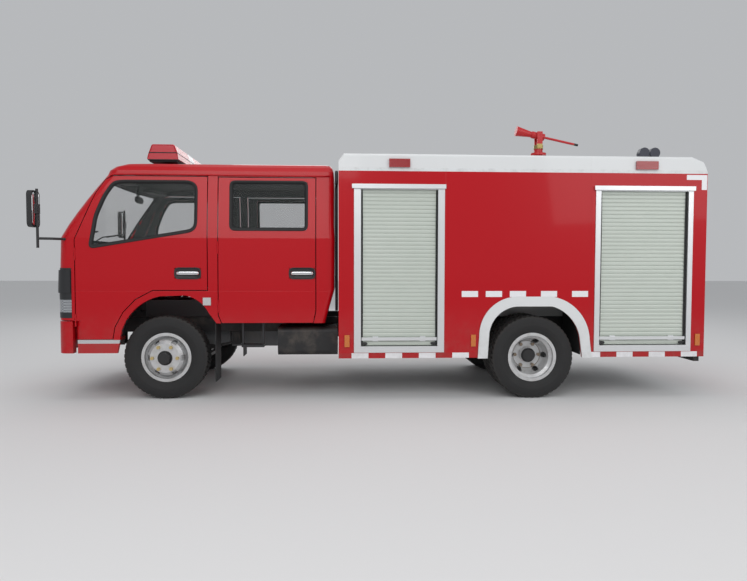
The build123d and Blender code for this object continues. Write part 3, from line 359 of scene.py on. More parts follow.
def markerLens():
    # amber low down on the sides, red high up, a clear repeater on the cab; clear, red, amber at the rear
    paint = Paint("markerLens")
    marks = markerMarks
    amber, red, clear = marks["amber"], marks["red"], marks["clear"]
    rear = paint.x.below(frontAxleX + marks["rearX"])
    band = paint.y.absolute()
    rearInner = paint.mix(band.above(marks["redFromY"]), clear, red)
    rearColour = paint.mix(band.above(marks["amberFromY"]), rearInner, amber)
    repeater = paint.z.within(*marks["repeaterZ"]) * paint.x.above(frontAxleX + marks["repeaterX"])
    colour = paint.mix(paint.z.above(marks["highZ"]), paint.mix(repeater, amber, clear), red)
    colour = paint.mix(rear, colour, rearColour)
    flutes = (paint.x * 700.0).wave() * (paint.z * 500.0).wave()
    paint.colour(paint.mix(flutes * 0.25 + 0.25, colour, (0.02, 0.004, 0.003)))
    paint.rough(paint.noise(30.0, 2.0) * 0.06 + 0.12)
    paint.fixed(Coat_Weight=0.8, Coat_Roughness=0.04)
    paint.bump(flutes, 0.25, 0.001)
    return paint.material


headlampMarks = {"largeZ": (0.958, 1.162), "largeWithinY": 0.85, "smallZ": (0.79, 0.90), "smallFromY": 0.70}


def headlampUnit():
    # black surround, one large clear lamp over a small white one
    paint = Paint("headlampUnit")
    marks = headlampMarks
    out = paint.y.absolute()
    large = paint.z.within(*marks["largeZ"]) * out.below(marks["largeWithinY"])
    lamp = large.larger(paint.z.within(*marks["smallZ"]) * out.above(marks["smallFromY"]))
    flutes = (paint.y * 420.0).wave() * (paint.z * 260.0).wave()
    bowl = paint.mix(flutes * 0.5 + 0.5, (0.52, 0.54, 0.56), (0.2, 0.21, 0.23))
    paint.colour(paint.mix(lamp, (0.016, 0.017, 0.019), bowl))
    paint.rough(paint.noise(60.0, 2.0) * 0.06 + 0.34 - lamp * 0.26)
    paint.plug(paint.shader.inputs["Metallic"], lamp * 0.55)
    paint.plug(paint.shader.inputs["Coat Weight"], lamp * 0.9)
    paint.bump(flutes * lamp, 0.2, 0.001)
    return paint.material


lightBarMarks = {"footTop": 2.186, "jointZ": (2.241, 2.251), "clearHalf": 0.1}


def lightBarUnit():
    # red lenses either side of a clear middle, on a black foot with a dark joint half way up
    paint = Paint("lightBarUnit")
    foot = paint.z.below(lightBarMarks["footTop"]).larger(paint.z.within(*lightBarMarks["jointZ"]))
    middle = paint.y.absolute().below(lightBarMarks["clearHalf"])
    flutes = (paint.y * 900.0).wave()
    deep = paint.mix(flutes * 0.5 + 0.5, (0.62, 0.012, 0.03), (0.30, 0.004, 0.012))
    lensColour = paint.mix(middle, deep, (0.55, 0.57, 0.6))
    paint.colour(paint.mix(foot, lensColour, (0.015, 0.015, 0.017)))
    paint.rough(paint.noise(40.0, 2.0) * 0.08 + 0.2 + foot * 0.3)
    paint.plug(paint.shader.inputs["Coat Weight"], 0.2 - foot * 0.2)
    paint.fixed(Specular_IOR_Level=0.3)
    paint.bump(flutes, 0.15, 0.0008)
    return paint.material


wheelMarks = {"hub": 0.066, "nuts": (0.093, 0.129), "frontNutY": 0.8805, "rearNutY": (0.7596, 0.784)}


def wheelPaint():
    # silver enamel with brake dust, brass front nuts, brown rear ones, and a black hub
    paint = Paint("wheelPaint")
    marks = wheelMarks
    radius = axleRadius(paint)
    dust = paint.noise(14.0, 5.0, 0.6).smooth(0.4, 0.75)
    silver = paint.mix(dust * 0.35, (0.60, 0.605, 0.61), (0.30, 0.27, 0.23))
    hub = radius.below(marks["hub"])
    reach = paint.y.absolute()
    nut = radius.within(*marks["nuts"]) * (paint.x.above(0.0) * reach.above(marks["frontNutY"]))
    rearNut = radius.within(*marks["nuts"]) * (paint.x.below(0.0) * reach.within(*marks["rearNutY"]))
    colour = paint.mix(rearNut, paint.mix(nut, silver, (0.60, 0.47, 0.22)), (0.25, 0.2, 0.15))
    paint.colour(paint.mix(hub, colour, (0.02, 0.02, 0.021)))
    paint.plug(paint.shader.inputs["Metallic"], 0.5 - hub * 0.45 + nut * 0.4)
    paint.rough(dust * 0.2 + 0.34 + hub * 0.1)
    paint.bump(paint.noise(220.0, 2.0), 0.12, 0.0006)
    return paint.material


shellMarks = {"cabEndX": -1.553, "rearEndX": -4.875}


def shellPaint():
    # red outside at the two ends, pale grey within the lockers
    paint = Paint("shellPaint")
    rearEnd = paint.x.below(frontAxleX + shellMarks["rearEndX"])
    ends = paint.x.above(frontAxleX + shellMarks["cabEndX"]).larger(rearEnd)
    cloud = paint.noise(2.0, 4.0)
    inside = paint.mix(cloud * 0.4, (0.55, 0.56, 0.56), (0.38, 0.385, 0.38))
    paint.colour(paint.mix(ends, inside, finish["red"]))
    paint.rough(cloud * 0.1 + 0.34)
    paint.fixed(Coat_Weight=0.3)
    paint.bump(paint.noise(150.0, 1.0), 0.1, 0.001)
    return paint.material


monitorMarks = {"collarZ": (2.425, 2.475), "gripX": -4.02}


def monitorPaint():
    # red enamel, a brass collar at the foot of the neck and a black grip at the end of the tiller
    paint = Paint("monitorPaint")
    cloud = paint.noise(14.0, 4.0)
    collar = paint.z.within(*monitorMarks["collarZ"])
    grip = paint.x.below(frontAxleX + monitorMarks["gripX"])
    red = paint.mix(cloud * 0.3, (0.52, 0.014, 0.018), (0.34, 0.01, 0.012))
    brass = paint.mix(cloud, (0.42, 0.33, 0.12), (0.26, 0.2, 0.08))
    paint.colour(paint.mix(grip, paint.mix(collar, red, brass), (0.02, 0.02, 0.021)))
    paint.plug(paint.shader.inputs["Metallic"], collar * 0.8)
    paint.rough(cloud * 0.12 + 0.3)
    paint.bump(paint.noise(160.0, 3.0), 0.2, 0.0008)
    return paint.material


stepMarks = {"stripZ": 0.512, "stripY": 0.86, "blackX": -0.5}


def stepPaint():
    # red front steps with a bright tread strip along the top, black steps behind the wheel
    paint = Paint("stepPaint")
    strip = paint.z.above(stepMarks["stripZ"]) * paint.y.absolute().above(stepMarks["stripY"])
    dust = paint.noise(9.0, 5.0)
    red = paint.mix(dust * 0.3, finish["red"], finish["dust"])
    base = paint.mix(paint.x.below(frontAxleX + stepMarks["blackX"]), red, finish["black"])
    paint.colour(paint.mix(strip, base, (0.66, 0.67, 0.68)))
    paint.plug(paint.shader.inputs["Metallic"], strip * 0.9)
    paint.rough(dust * 0.15 + 0.28)
    paint.bump(paint.noise(150.0, 1.0), 0.1, 0.001)
    return paint.material


creaseMark = {"z": 0.977, "half": 0.007, "depth": 0.6}


def cabCrease(paint):
    # pressed line that runs along both doors under the handles
    line = 1.0 - (paint.z - creaseMark["z"]).absolute().smooth(0.0, creaseMark["half"])
    return line * creaseMark["depth"]


def windowGlass():
    # lightly tinted glass under a thin uneven film of dust
    paint = Paint("windowGlass")
    dust = paint.noise(4.0, 5.0)
    paint.colour(paint.mix(dust, (0.03, 0.042, 0.04), (0.07, 0.08, 0.075)))
    paint.rough(dust * 0.04 + 0.02)
    paint.plug(paint.shader.inputs["Alpha"], dust * 0.03 + 0.1)
    paint.fixed(IOR=1.5, Specular_IOR_Level=0.5)
    return paint.material


def wovenCloth():
    # seat cloth: a crossed weave with a slight fleck
    paint = Paint("seatCloth")
    weave = (paint.x * 2200.0).wave() * (paint.y * 2200.0).wave() + (paint.z * 2200.0).wave()
    fleck = paint.noise(90.0, 2.0)
    paint.colour(paint.mix(fleck, (0.03, 0.031, 0.035), (0.09, 0.092, 0.1)))
    paint.rough(fleck * 0.1 + 0.8)
    paint.bump(weave * 0.3 + fleck, 0.4, 0.0008)
    return paint.material


def slatAlloy():
    # satin pale green-grey slats, clouded and faintly brushed
    paint = Paint("slatAlloy")
    cloud = paint.noise(5.0, 4.0)
    fine = paint.noise(70.0, 2.0, 0.5, paint.stretched(0.4, 1.0, 6.0))
    paint.colour(paint.mix(cloud * 0.6, (0.50, 0.545, 0.49), (0.58, 0.615, 0.565)))
    paint.rough(fine * 0.14 + 0.36)
    paint.fixed(Metallic=0.25)
    paint.bump(fine, 0.1, 0.0006)
    return paint.material


def mirrorFace():
    # silvered glass, faintly dusty
    paint = Paint("mirrorFace")
    dust = paint.noise(12.0, 4.0)
    paint.colour(paint.mix(dust * 0.2, (0.8, 0.82, 0.83), (0.6, 0.6, 0.58)))
    paint.rough(dust * 0.05 + 0.02)
    paint.fixed(Metallic=1.0)
    return paint.material


deckMarks = {"wornBelowZ": 2.065, "worn": (0.42, 0.42, 0.41)}


def deckPlate(paint, base):
    # pale paint, worn in patches on the deck within the coaming
    wear = paint.noise(14.0, 6.0, 0.7).smooth(0.4, 0.8) * paint.z.below(deckMarks["wornBelowZ"])
    return paint.mix(wear * 0.5, base, deckMarks["worn"])


materials = {
    "red": paintedMetal("redEnamel", finish["red"]),
    "bodyRed": paintedMetal("bodyRed", finish["red"], extra=bodyTapes, seams=bodySeams),
    "pale": paintedMetal("paleEnamel", finish["pale"], rough=0.32, coat=0.35),
    "deck": paintedMetal("deckEnamel", finish["pale"], rough=0.34, extra=deckPlate, seams=bodySeams),
    "frame": castMetal("frameBlack", (0.011, 0.011, 0.012), 0.55),
    "cast": castMetal("castBlack", (0.017, 0.016, 0.016), 0.65),
    "engine": castMetal("engineGrey", (0.14, 0.145, 0.15), 0.55),
    "exhaust": metal("exhaustSteel", (0.3, 0.27, 0.24), 0.5, spot=0.6),
    "alloy": metal("frameAlloy", (0.8, 0.81, 0.82), 0.36, brush=(1.0, 1.0, 30.0)),
    "chrome": metal("brightChrome", (0.86, 0.86, 0.88), 0.12, spot=0.06),
    "trim": plainPlastic("trimGrey", (0.045, 0.046, 0.05), 0.6),
    "tyre": tyreRubber(),
    "rubber": plainPlastic("blackRubber", (0.014, 0.014, 0.015), 0.62, 300.0),
    "plastic": plainPlastic("blackPlastic", (0.02, 0.02, 0.022), 0.42),
    "greyPlastic": plainPlastic("greyPlastic", (0.09, 0.09, 0.095), 0.5),
    "cabRed": paintedMetal("cabRed", finish["red"], seams=cabCrease),
    "clear": lens("clearLens", (0.75, 0.77, 0.8)),
    "headlamp": headlampUnit(),
    "lightBar": lightBarUnit(),
    "wheel": wheelPaint(),
    "shell": shellPaint(),
    "monitor": monitorPaint(),
    "step": stepPaint(),
    "marker": markerLens(),
    "dark": plainPlastic("darkHousing", (0.012, 0.015, 0.035), 0.3),
    "glass": windowGlass(),
    "cloth": wovenCloth(),
    "slat": slatAlloy(),
    "mirrorGlass": mirrorFace(),
}

nodeFinish = {
    "frame": ("chassis_frame", "fuel_tank"),
    "cast": ("front_axle", "rear_axle", "leaf_springs", "knuckle_left", "knuckle_right", "tie_rod"),
    "engine": ("powertrain", "pump", "water_tank"),
    "exhaust": ("exhaust",),
    "rubber": ("mudflaps",),
    "red": ("front_bumper", "rear_hatch"),
    "cabRed": ("cab_shell",),
    "step": ("entry_steps",),
    "bodyRed": ("body_sides",),
    "plastic": ("grille", "dashboard", "mirrors", "steering_wheel"),
    "headlamp": ("headlamps",),
    "glass": ("windscreen",),
    "cloth": ("seats",),
    "lightBar": ("light_bar",),
    "pale": ("arch_trims",),
    "shell": ("body_shell",),
    "deck": ("roof_deck",),
    "alloy": ("shutter_frames", "rear_ladder"),
    "monitor": ("monitor_base", "monitor_neck", "monitor_barrel"),
    "dark": ("work_lamps",),
    "marker": ("marker_lamps",),
    "wheel": (),
    "tyre": (),
}
for side in sides:
    nodeFinish["glass"] += (f"glass_front_{side}", f"glass_rear_{side}")
    nodeFinish["cabRed"] += (f"door_front_{side}", f"door_rear_{side}")
    nodeFinish["wheel"] += (f"rim_front_{side}", f"rims_rear_{side}")
    nodeFinish["tyre"] += (f"tyre_front_{side}", f"tyres_rear_{side}")
    for end in ("front", "rear"):
        nodeFinish["alloy"] += (f"lift_bar_{end}_{side}", f"curtain_{end}_{side}")

for name, nodes in nodeFinish.items():
    for node in nodes:
        thing = bpy.data.objects[node]
        thing.data.materials.clear()
        thing.data.materials.append(materials[name])

# Grey trim inside the cab and its doors; x is measured from the front axle
cabTrim = {
    "nodes": ["cab_shell"] + [f"door_{end}_{side}" for end in ("front", "rear") for side in sides],
    "middle": (-0.35, 0.0, 1.45),
    "facing": -0.02,
    "sideInset": 0.025,
    "frontX": 0.935,
    "backX": -1.49,
    "floorZ": 0.58,
    "roofZ": 2.09,
}


def trimInside(node, trim):
    # a face is trim where its normal looks towards the cab's middle and its centre lies inside the skin
    mesh = bpy.data.objects[node].data
    mesh.materials.append(materials["trim"])
    count = len(mesh.polygons)
    centre, normal = np.empty(count * 3), np.empty(count * 3)
    mesh.polygons.foreach_get("center", centre)
    mesh.polygons.foreach_get("normal", normal)
    centre, normal = centre.reshape(-1, 3), normal.reshape(-1, 3)
    away = centre - np.array(trim["middle"]) - (frontAxleX, 0, 0)
    looksIn = (away * normal).sum(axis=1) < trim["facing"]
    x, y, z = centre.T
    slope = cabShape["slope"] * np.maximum(0, z - cabShape["belt"])
    frontX = frontAxleX + trim["frontX"] - slope - y**2 / (2 * cabShape["bulge"])
    within = (np.abs(y) < cabSide(z) - trim["sideInset"]) & (x > frontAxleX + trim["backX"]) & (x < frontX)
    within &= (z > trim["floorZ"]) & (z < trim["roofZ"])
    mesh.polygons.foreach_set("material_index", (looksIn & within).astype(np.int32))


for node in cabTrim["nodes"]:
    trimInside(node, cabTrim)
print("materials ready:", len(materials))


# Surfaces
def addMesh(name, surface, finishName, body, smooth=True):
    # a surface is its points and its faces; the piece rides on a body and takes a material slot
    points, faces = surface
    mesh = bpy.data.meshes.new(name)
    mesh.from_pydata(np.asarray(points).reshape(-1, 3).tolist(), [], faces)
    mesh.polygons.foreach_set("use_smooth", [smooth] * len(mesh.polygons))
    mesh.materials.append(materials[finishName])
    thing = bpy.data.objects.new(name, mesh)
    bpy.context.scene.collection.objects.link(thing)
    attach(thing, body)
    return thing


def gridFaces(rows, columns, wrapRows=False, wrapColumns=False):
    # four-sided faces between neighbouring rows and columns of a grid of points
    r = np.arange(rows if wrapRows else rows - 1)
    c = np.arange(columns if wrapColumns else columns - 1)
    r, c = [a.ravel() for a in np.meshgrid(r, c, indexing="ij")]
    r2, c2 = (r + 1) % rows, (c + 1) % columns
    faces = np.stack([r * columns + c, r * columns + c2, r2 * columns + c2, r2 * columns + c], axis=1)
    return faces.tolist()


def sweep(path, profile, out, closed=True):
    # a profile of (outward, sideways) offsets carried along a path; sideways is tangent cross outward
    path = np.asarray(path, float)
    profile = np.asarray(profile, float)
    ahead = np.roll(path, -1, axis=0) - np.roll(path, 1, axis=0)
    if not closed:
        ahead[0], ahead[-1] = path[1] - path[0], path[-1] - path[-2]
    ahead /= np.linalg.norm(ahead, axis=1)[:, None]
    out = np.broadcast_to(np.asarray(out, float), path.shape)
    across = np.cross(ahead, out)
    across /= np.linalg.norm(across, axis=1)[:, None]
    out = np.cross(across, ahead)
    points = path[:, None] + profile[None, :, :1] * out[:, None] + profile[None, :, 1:] * across[:, None]
    rows, columns = points.shape[:2]
    faces = gridFaces(rows, columns, wrapRows=closed, wrapColumns=True)
    if not closed:
        faces.append(list(range(columns))[::-1])
        faces.append([(rows - 1) * columns + k for k in range(columns)])
    return points.reshape(-1, 3), faces


def joined(parts):
    # several surfaces as one
    points, faces, start = [], [], 0
    for partPoints, partFaces in parts:
        points.append(np.asarray(partPoints).reshape(-1, 3))
        faces += [[k + start for k in face] for face in partFaces]
        start += len(points[-1])
    return np.concatenate(points), faces


def outwards(thing):
    # turns every face of a closed piece to the outside
    work = bmesh.new()
    work.from_mesh(thing.data)
    bmesh.ops.recalc_face_normals(work, faces=work.faces)
    work.to_mesh(thing.data)
    work.free()
    return thing


def rectangle(halfWide, halfHigh):
    # corners of a rectangle about its middle, anticlockwise
    return [(-halfWide, -halfHigh), (halfWide, -halfHigh), (halfWide, halfHigh), (-halfWide, halfHigh)]


def roundedLoop(corners, radius, steps=6):
    # each corner becomes the curve (1-t)^2 start + 2t(1-t) corner + t^2 end
    corners = np.asarray(corners, float)
    before, after = np.roll(corners, 1, axis=0) - corners, np.roll(corners, -1, axis=0) - corners
    start = corners + before * np.minimum(radius / np.linalg.norm(before, axis=1), 0.49)[:, None]
    end = corners + after * np.minimum(radius / np.linalg.norm(after, axis=1), 0.49)[:, None]
    t = np.linspace(0, 1, steps)[None, :, None]
    loop = (1 - t) ** 2 * start[:, None] + 2 * t * (1 - t) * corners[:, None] + t**2 * end[:, None]
    return loop.reshape(-1, 2)


def roundLoop(radius, count=10):
    # points at (radius cos, radius sin) of equal turns
    turn = np.linspace(0, 2 * np.pi, count, endpoint=False)
    return np.stack([radius * np.cos(turn), radius * np.sin(turn)], axis=1)


def dishedRings(outline, rings):
    # an outline drawn in to its middle by each ring's share; gives across, up and the ring's height
    share, height = np.asarray(rings, float).T
    middle = outline.mean(axis=0)
    ring = middle + (outline - middle) * share[:, None, None]
    return ring[..., 0], ring[..., 1], height[:, None] + 0 * ring[..., 0]


def roundedBox(low, high, sharp=4.0, rows=24, columns=36):
    # a rounded block: a unit sphere pushed towards a cube by the power formula |x|^p + |y|^p + |z|^p = 1
    low, high = np.asarray(low, float), np.asarray(high, float)
    v = np.linspace(-np.pi / 2, np.pi / 2, rows)[:, None]
    u = np.linspace(0, 2 * np.pi, columns, endpoint=False)[None, :]
    ball = np.stack([np.cos(v) * np.cos(u), np.cos(v) * np.sin(u), np.sin(v) + 0 * u], axis=-1)
    size = (np.abs(ball) ** sharp).sum(axis=-1, keepdims=True) ** (1 / sharp)
    points = (low + high) / 2 + ball / size * (high - low) / 2
    return points.reshape(-1, 3), gridFaces(rows, columns, wrapColumns=True)


# Tyres with tread blocks and a rounded sidewall
tyreShape = {
    "profile": [(0.207, 0.062), (0.232, 0.076), (0.258, 0.088), (0.290, 0.0965), (0.320, 0.0955),
                (0.345, 0.0915), (0.362, 0.086), (0.371, 0.079), (0.3739, 0.070), (0.3739, 0.0)],
    "profileSteps": 40,
    "around": 300,
    "lugs": 50,
    "treadDepth": 0.009,
    "treadFrom": 0.366,
    "zigzag": 0.004,
    "grooveAt": 0.034,
    "grooveHalf": 0.004,
    "slotSlant": 30,
    "slotCut": 0.72,
    "slotFrom": 0.036,
}


def tyreSurface(axleX, middle, shape):
    # radius and half width follow the profile, mirrored, and turn by u about the axle; the tread is cut
    # deeper in three zigzag grooves round it and in slots where sin(lugs u + slant y) is high
    keyRadius, keyHalf = np.array(shape["profile"]).T
    keys = np.arange(len(keyRadius))
    t = np.linspace(0, keys[-1], shape["profileSteps"])
    r, y = np.interp(t, keys, keyRadius), np.interp(t, keys, keyHalf)
    r = np.concatenate([r, r[-2::-1]])[None, :]
    y = np.concatenate([y, -y[-2::-1]])[None, :]
    u = np.linspace(0, 2 * np.pi, shape["around"], endpoint=False)[:, None]
    offset = np.abs(y + shape["zigzag"] * np.sign(np.sin(u * shape["lugs"])))
    groove = (offset < shape["grooveHalf"]) | (np.abs(offset - shape["grooveAt"]) < shape["grooveHalf"])
    slot = np.sin(u * shape["lugs"] + y * shape["slotSlant"]) > shape["slotCut"]
    cut = (groove | slot & (np.abs(y) > shape["slotFrom"])) & (r > shape["treadFrom"])
    radius = r - shape["treadDepth"] * cut
    points = np.stack([axleX + radius * np.cos(u), middle + y + 0 * u, wheelZ + radius * np.sin(u)], axis=-1)
    rows, columns = points.shape[:2]
    return points.reshape(-1, 3), gridFaces(rows, columns, wrapRows=True, wrapColumns=True)


for side in sides:
    front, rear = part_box(f"tyre_front_{side}"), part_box(f"tyres_rear_{side}")
    frontMiddle = (front[0][1] + front[1][1]) / 2
    halfTyre = (front[1][1] - front[0][1]) / 2
    surface = tyreSurface(frontAxleX, frontMiddle, tyreShape)
    tyre = addMesh(f"tyreTread_front_{side}", surface, "tyre", f"wheel_front_{side}", smooth=False)
    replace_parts(outwards(tyre), f"tyre_front_{side}")
    rearMiddles = (rear[0][1] + halfTyre, rear[1][1] - halfTyre)
    surface = joined([tyreSurface(rearAxleX, y, tyreShape) for y in rearMiddles])
    tyres = addMesh(f"tyreTread_rear_{side}", surface, "tyre", f"wheels_rear_{side}", smooth=False)
    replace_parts(outwards(tyres), f"tyres_rear_{side}")
print("tyres made")

# Window rubbers on the doors and round the windscreen
rubberShape = {
    "section": [(-0.016, -0.005), (0.003, -0.005), (0.006, 0.002), (0.003, 0.012), (-0.010, 0.026),
                (-0.016, 0.026)],
    "front": [(0.632, 1.350), (0.584, 1.643), (0.512, 1.818), (0.433, 1.935), (0.364, 1.950),
              (-0.245, 1.950), (-0.302, 1.905), (-0.300, 1.545), (-0.254, 1.498)],
    "rear": [(-0.589, 1.514), (-0.589, 1.952), (-1.273, 1.952), (-1.273, 1.514)],
    "proud": 0.0005,
    "corner": 0.05,
    "screen": [(-0.800, 1.448), (0.800, 1.448), (0.742, 1.962), (-0.742, 1.962)],
    "screenCorner": 0.08,
    "screenSteps": 8,
    "screenOut": (0.85, 0, 0.5),
}
for side, sign in sides.items():
    for end in ("front", "rear"):
        x, z = roundedLoop(rubberShape[end], rubberShape["corner"]).T
        path = np.stack([frontAxleX + x, sign * (cabSide(z) + rubberShape["proud"]), z], axis=1)
        section = [(a, sign * b) for a, b in rubberShape["section"]]
        surface = sweep(path, section, (0, sign, 0))
        body = f"door_{end}_{side}"
        outwards(addMesh(f"windowRubber_{end}_{side}", surface, "rubber", body))
loop = roundedLoop(rubberShape["screen"], rubberShape["screenCorner"])
stretches = zip(loop, np.roll(loop, -1, axis=0))
steps = rubberShape["screenSteps"]
y, z = np.concatenate([np.linspace(a, b, steps, endpoint=False) for a, b in stretches]).T
surface = sweep(np.stack([cabFront(y, z), y, z], axis=1), rubberShape["section"], rubberShape["screenOut"])
outwards(addMesh("screenRubber", surface, "rubber", "chassis"))
print("window rubbers made")

# Door handles: a dished black cup and a bright bar
handleShape = {
    "places": {"front": -0.220, "rear": -1.225},
    "z": 1.1325,
    "cupHalf": (0.117, 0.052),
    "cupCorner": 0.045,
    "cupRings": [(1.0, 0.004), (0.96, 0.006), (0.86, -0.006), (0.7, -0.011), (0.4, -0.012), (0.0, -0.012)],
    "barHalf": (0.098, 0.009),
    "barZ": (1.120, 1.148),
    "barSharp": 5.0,
}
cupLoop = roundedLoop(rectangle(*handleShape["cupHalf"]), handleShape["cupCorner"], 8)
across, up, depth = dishedRings(cupLoop, handleShape["cupRings"])
barX, barY = handleShape["barHalf"]
barLow, barHigh = handleShape["barZ"]
for side, sign in sides.items():
    faceY = sign * cabShape["halfWidth"]
    for end, place in handleShape["places"].items():
        x = frontAxleX + place
        body = f"door_{end}_{side}"
        points = np.stack([x + across, faceY + sign * depth, handleShape["z"] + up], axis=-1)
        surface = points, gridFaces(*across.shape, wrapColumns=True)
        addMesh(f"handleCup_{end}_{side}", surface, "plastic", body)
        low, high = (x - barX, faceY - barY, barLow), (x + barX, faceY + barY, barHigh)
        bar = roundedBox(low, high, handleShape["barSharp"])
        outwards(addMesh(f"handleBar_{end}_{side}", bar, "chrome", body))
print("door handles made")

# Roller shutters: slats over each curtain, with the seals and feet beside them
shutterShape = {
    "pitch": 0.0354,
    "slatSteps": 8,
    "bulge": 0.003,
    "groove": 0.004,
    "grooveAt": 0.08,
    "grooveHalf": 0.07,
    "thick": 0.011,
    "columns": 5,
    "seal": {"inset": 0.023, "half": (0.009, 0.004), "y": 0.980, "sharp": 8.0, "grid": (10, 12)},
    "sealEnds": (-0.004, -0.002),
    "foot": {"inset": 0.045, "half": (0.028, 0.006), "y": 0.984, "sharp": 3.0, "grid": (10, 16)},
    "footEnds": (0.004, 0.030),
}


def slatSurface(low, high, sign, shape):
    # the face follows -groove near each joint - bulge (2 phase - 1)^4, phase running 0 to 1 up each slat
    faceY = max(abs(low[1]), abs(high[1]))
    count = int((high[2] - low[2]) / shape["pitch"])
    z = np.linspace(low[2], high[2], count * shape["slatSteps"] + 1)
    phase = (z - low[2]) / (high[2] - low[2]) * count % 1.0
    proud = -shape["groove"] * (np.abs(phase - shape["grooveAt"]) < shape["grooveHalf"])
    proud = proud - shape["bulge"] * (2 * phase - 1) ** 4
    backY = faceY - shape["thick"]
    y = np.concatenate([faceY + proud, [backY, backY]])
    z = np.concatenate([z, [high[2], low[2]]])
    x = np.linspace(low[0], high[0], shape["columns"])[:, None]
    points = np.stack([x + 0 * y, sign * y + 0 * x, z + 0 * x], axis=-1)
    rows, columns = points.shape[:2]
    faces = gridFaces(rows, columns, wrapColumns=True)
    faces += [list(range(columns)), [(rows - 1) * columns + k for k in range(columns)]]
    return points, faces


def edgeBlocks(low, high, sign, shape, bottom, top):
    # a rounded block beside each upright edge of a curtain, from bottom to top
    halfX, halfY = shape["half"]
    y = sign * shape["y"]
    blocks = []
    for x in (low[0] + shape["inset"], high[0] - shape["inset"]):
        start, end = (x - halfX, y - halfY, bottom), (x + halfX, y + halfY, top)
        blocks.append(roundedBox(start, end, shape["sharp"], *shape["grid"]))
    return joined(blocks)


for side, sign in sides.items():
    for end in ("front", "rear"):
        low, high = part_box(f"curtain_{end}_{side}")
        surface = slatSurface(low, high, sign, shutterShape)
        slats = addMesh(f"slats_{end}_{side}", surface, "slat", "chassis", smooth=False)
        outwards(slats)
        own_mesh(slats)
        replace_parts(slats, f"curtain_{end}_{side}")
        below, above = shutterShape["sealEnds"]
        seals = edgeBlocks(low, high, sign, shutterShape["seal"], low[2] + below, high[2] + above)
        outwards(addMesh(f"shutterSeal_{end}_{side}", seals, "rubber", "chassis"))
        below, above = shutterShape["footEnds"]
        feet = edgeBlocks(low, high, sign, shutterShape["foot"], low[2] + below, low[2] + above)
        body = f"shutter_{end}_{side}"
        outwards(addMesh(f"shutterFoot_{end}_{side}", feet, "plastic", body))
print("shutters made")

# Rain gutters along the cab's sides
gutterShape = {
    "line": [(0.455, 1.994), (0.440, 1.999), (0.425, 2.003), (0.2, 2.006), (-1.470, 2.000)],
    "steps": 60,
    "proud": 0.001,
    "section": [(-0.004, -0.006), (0.012, -0.006), (0.012, 0.002), (0.009, 0.006), (-0.004, 0.006)],
}
lineX, lineZ = np.array(gutterShape["line"]).T
keys = np.arange(len(lineX))
t = np.linspace(0, keys[-1], gutterShape["steps"])
x, z = np.interp(t, keys, lineX), np.interp(t, keys, lineZ)
for side, sign in sides.items():
    path = np.stack([frontAxleX + x, sign * (cabSide(z) + gutterShape["proud"]), z], axis=1)
    surface = sweep(path, gutterShape["section"], (0, sign, 0), closed=False)
    outwards(addMesh(f"rainGutter_{side}", surface, "red", "chassis"))
print("gutters made")

# Seats: crowned cushions and backs; corners are (x, z) with x from the front axle
seatShape = {
    "fronts": {"driver": (0.18, 0.70), "crew": (-0.70, 0.12)},
    "cushion": ((-0.13, 0.985), (0.345, 1.13)),
    "back": ((-0.235, 1.10), (-0.135, 1.68)),
    "backInset": 0.01,
    "backHinge": (-0.18, 1.10),
    "backLean": 0.16,
    "channels": 4,
    "bench": (-0.815, 0.815),
    "benchCushion": ((-1.40, 1.02), (-0.935, 1.18)),
    "benchBack": ((-1.42, 1.18), (-1.32, 1.71)),
    "benchHinge": (-1.38, 1.18),
    "benchLean": 0.10,
    "benchChannels": 9,
    "plinth": ((-1.40, -0.80, 0.786), (-0.95, 0.80, 1.03)),
    "plinthSharp": 12.0,
    "crown": 0.12,
    "channelWidth": 0.07,
    "channelDepth": 0.006,
}


def fromFrontAxle(x, *rest):
    # a place whose x is measured from the front axle, as one in the model
    return (frontAxleX + x, *rest)


def cushion(name, corners, across, channels):
    # a rounded block whose thickness is 1 - crown |y|^3, less a narrow bell-shaped dip along each channel
    (x0, z0), (x1, z1) = corners
    low = np.array(fromFrontAxle(x0, across[0], z0))
    high = np.array(fromFrontAxle(x1, across[1], z1))
    points, faces = roundedBox(low, high, 5.0, 30, 56)
    middle, half = (low + high) / 2, (high - low) / 2
    local = (points - middle) / half
    crown = 1 - seatShape["crown"] * np.abs(local[:, 1]) ** 3
    phase = (points[:, 1] - low[1]) / (high[1] - low[1]) * channels % 1
    dips = seatShape["channelDepth"] * np.exp(-(((phase - 0.5) / seatShape["channelWidth"]) ** 2))
    thin = int(np.argmin(half))
    points[:, thin] = middle[thin] + local[:, thin] * half[thin] * crown - np.sign(local[:, thin]) * dips
    made = outwards(addMesh(name, (points, faces), "cloth", "chassis"))
    return made


def leaned(thing, hinge, turn):
    # turns a back about the line across the cab through hinge (x, z)
    points = np.empty(len(thing.data.vertices) * 3)
    thing.data.vertices.foreach_get("co", points)
    points = points.reshape(-1, 3)
    hingeX, hingeZ = fromFrontAxle(*hinge)
    x, z = points[:, 0] - hingeX, points[:, 2] - hingeZ
    points[:, 0] = hingeX + x * np.cos(turn) - z * np.sin(turn)
    points[:, 2] = hingeZ + x * np.sin(turn) + z * np.cos(turn)
    thing.data.vertices.foreach_set("co", points.ravel())
    thing.data.update()


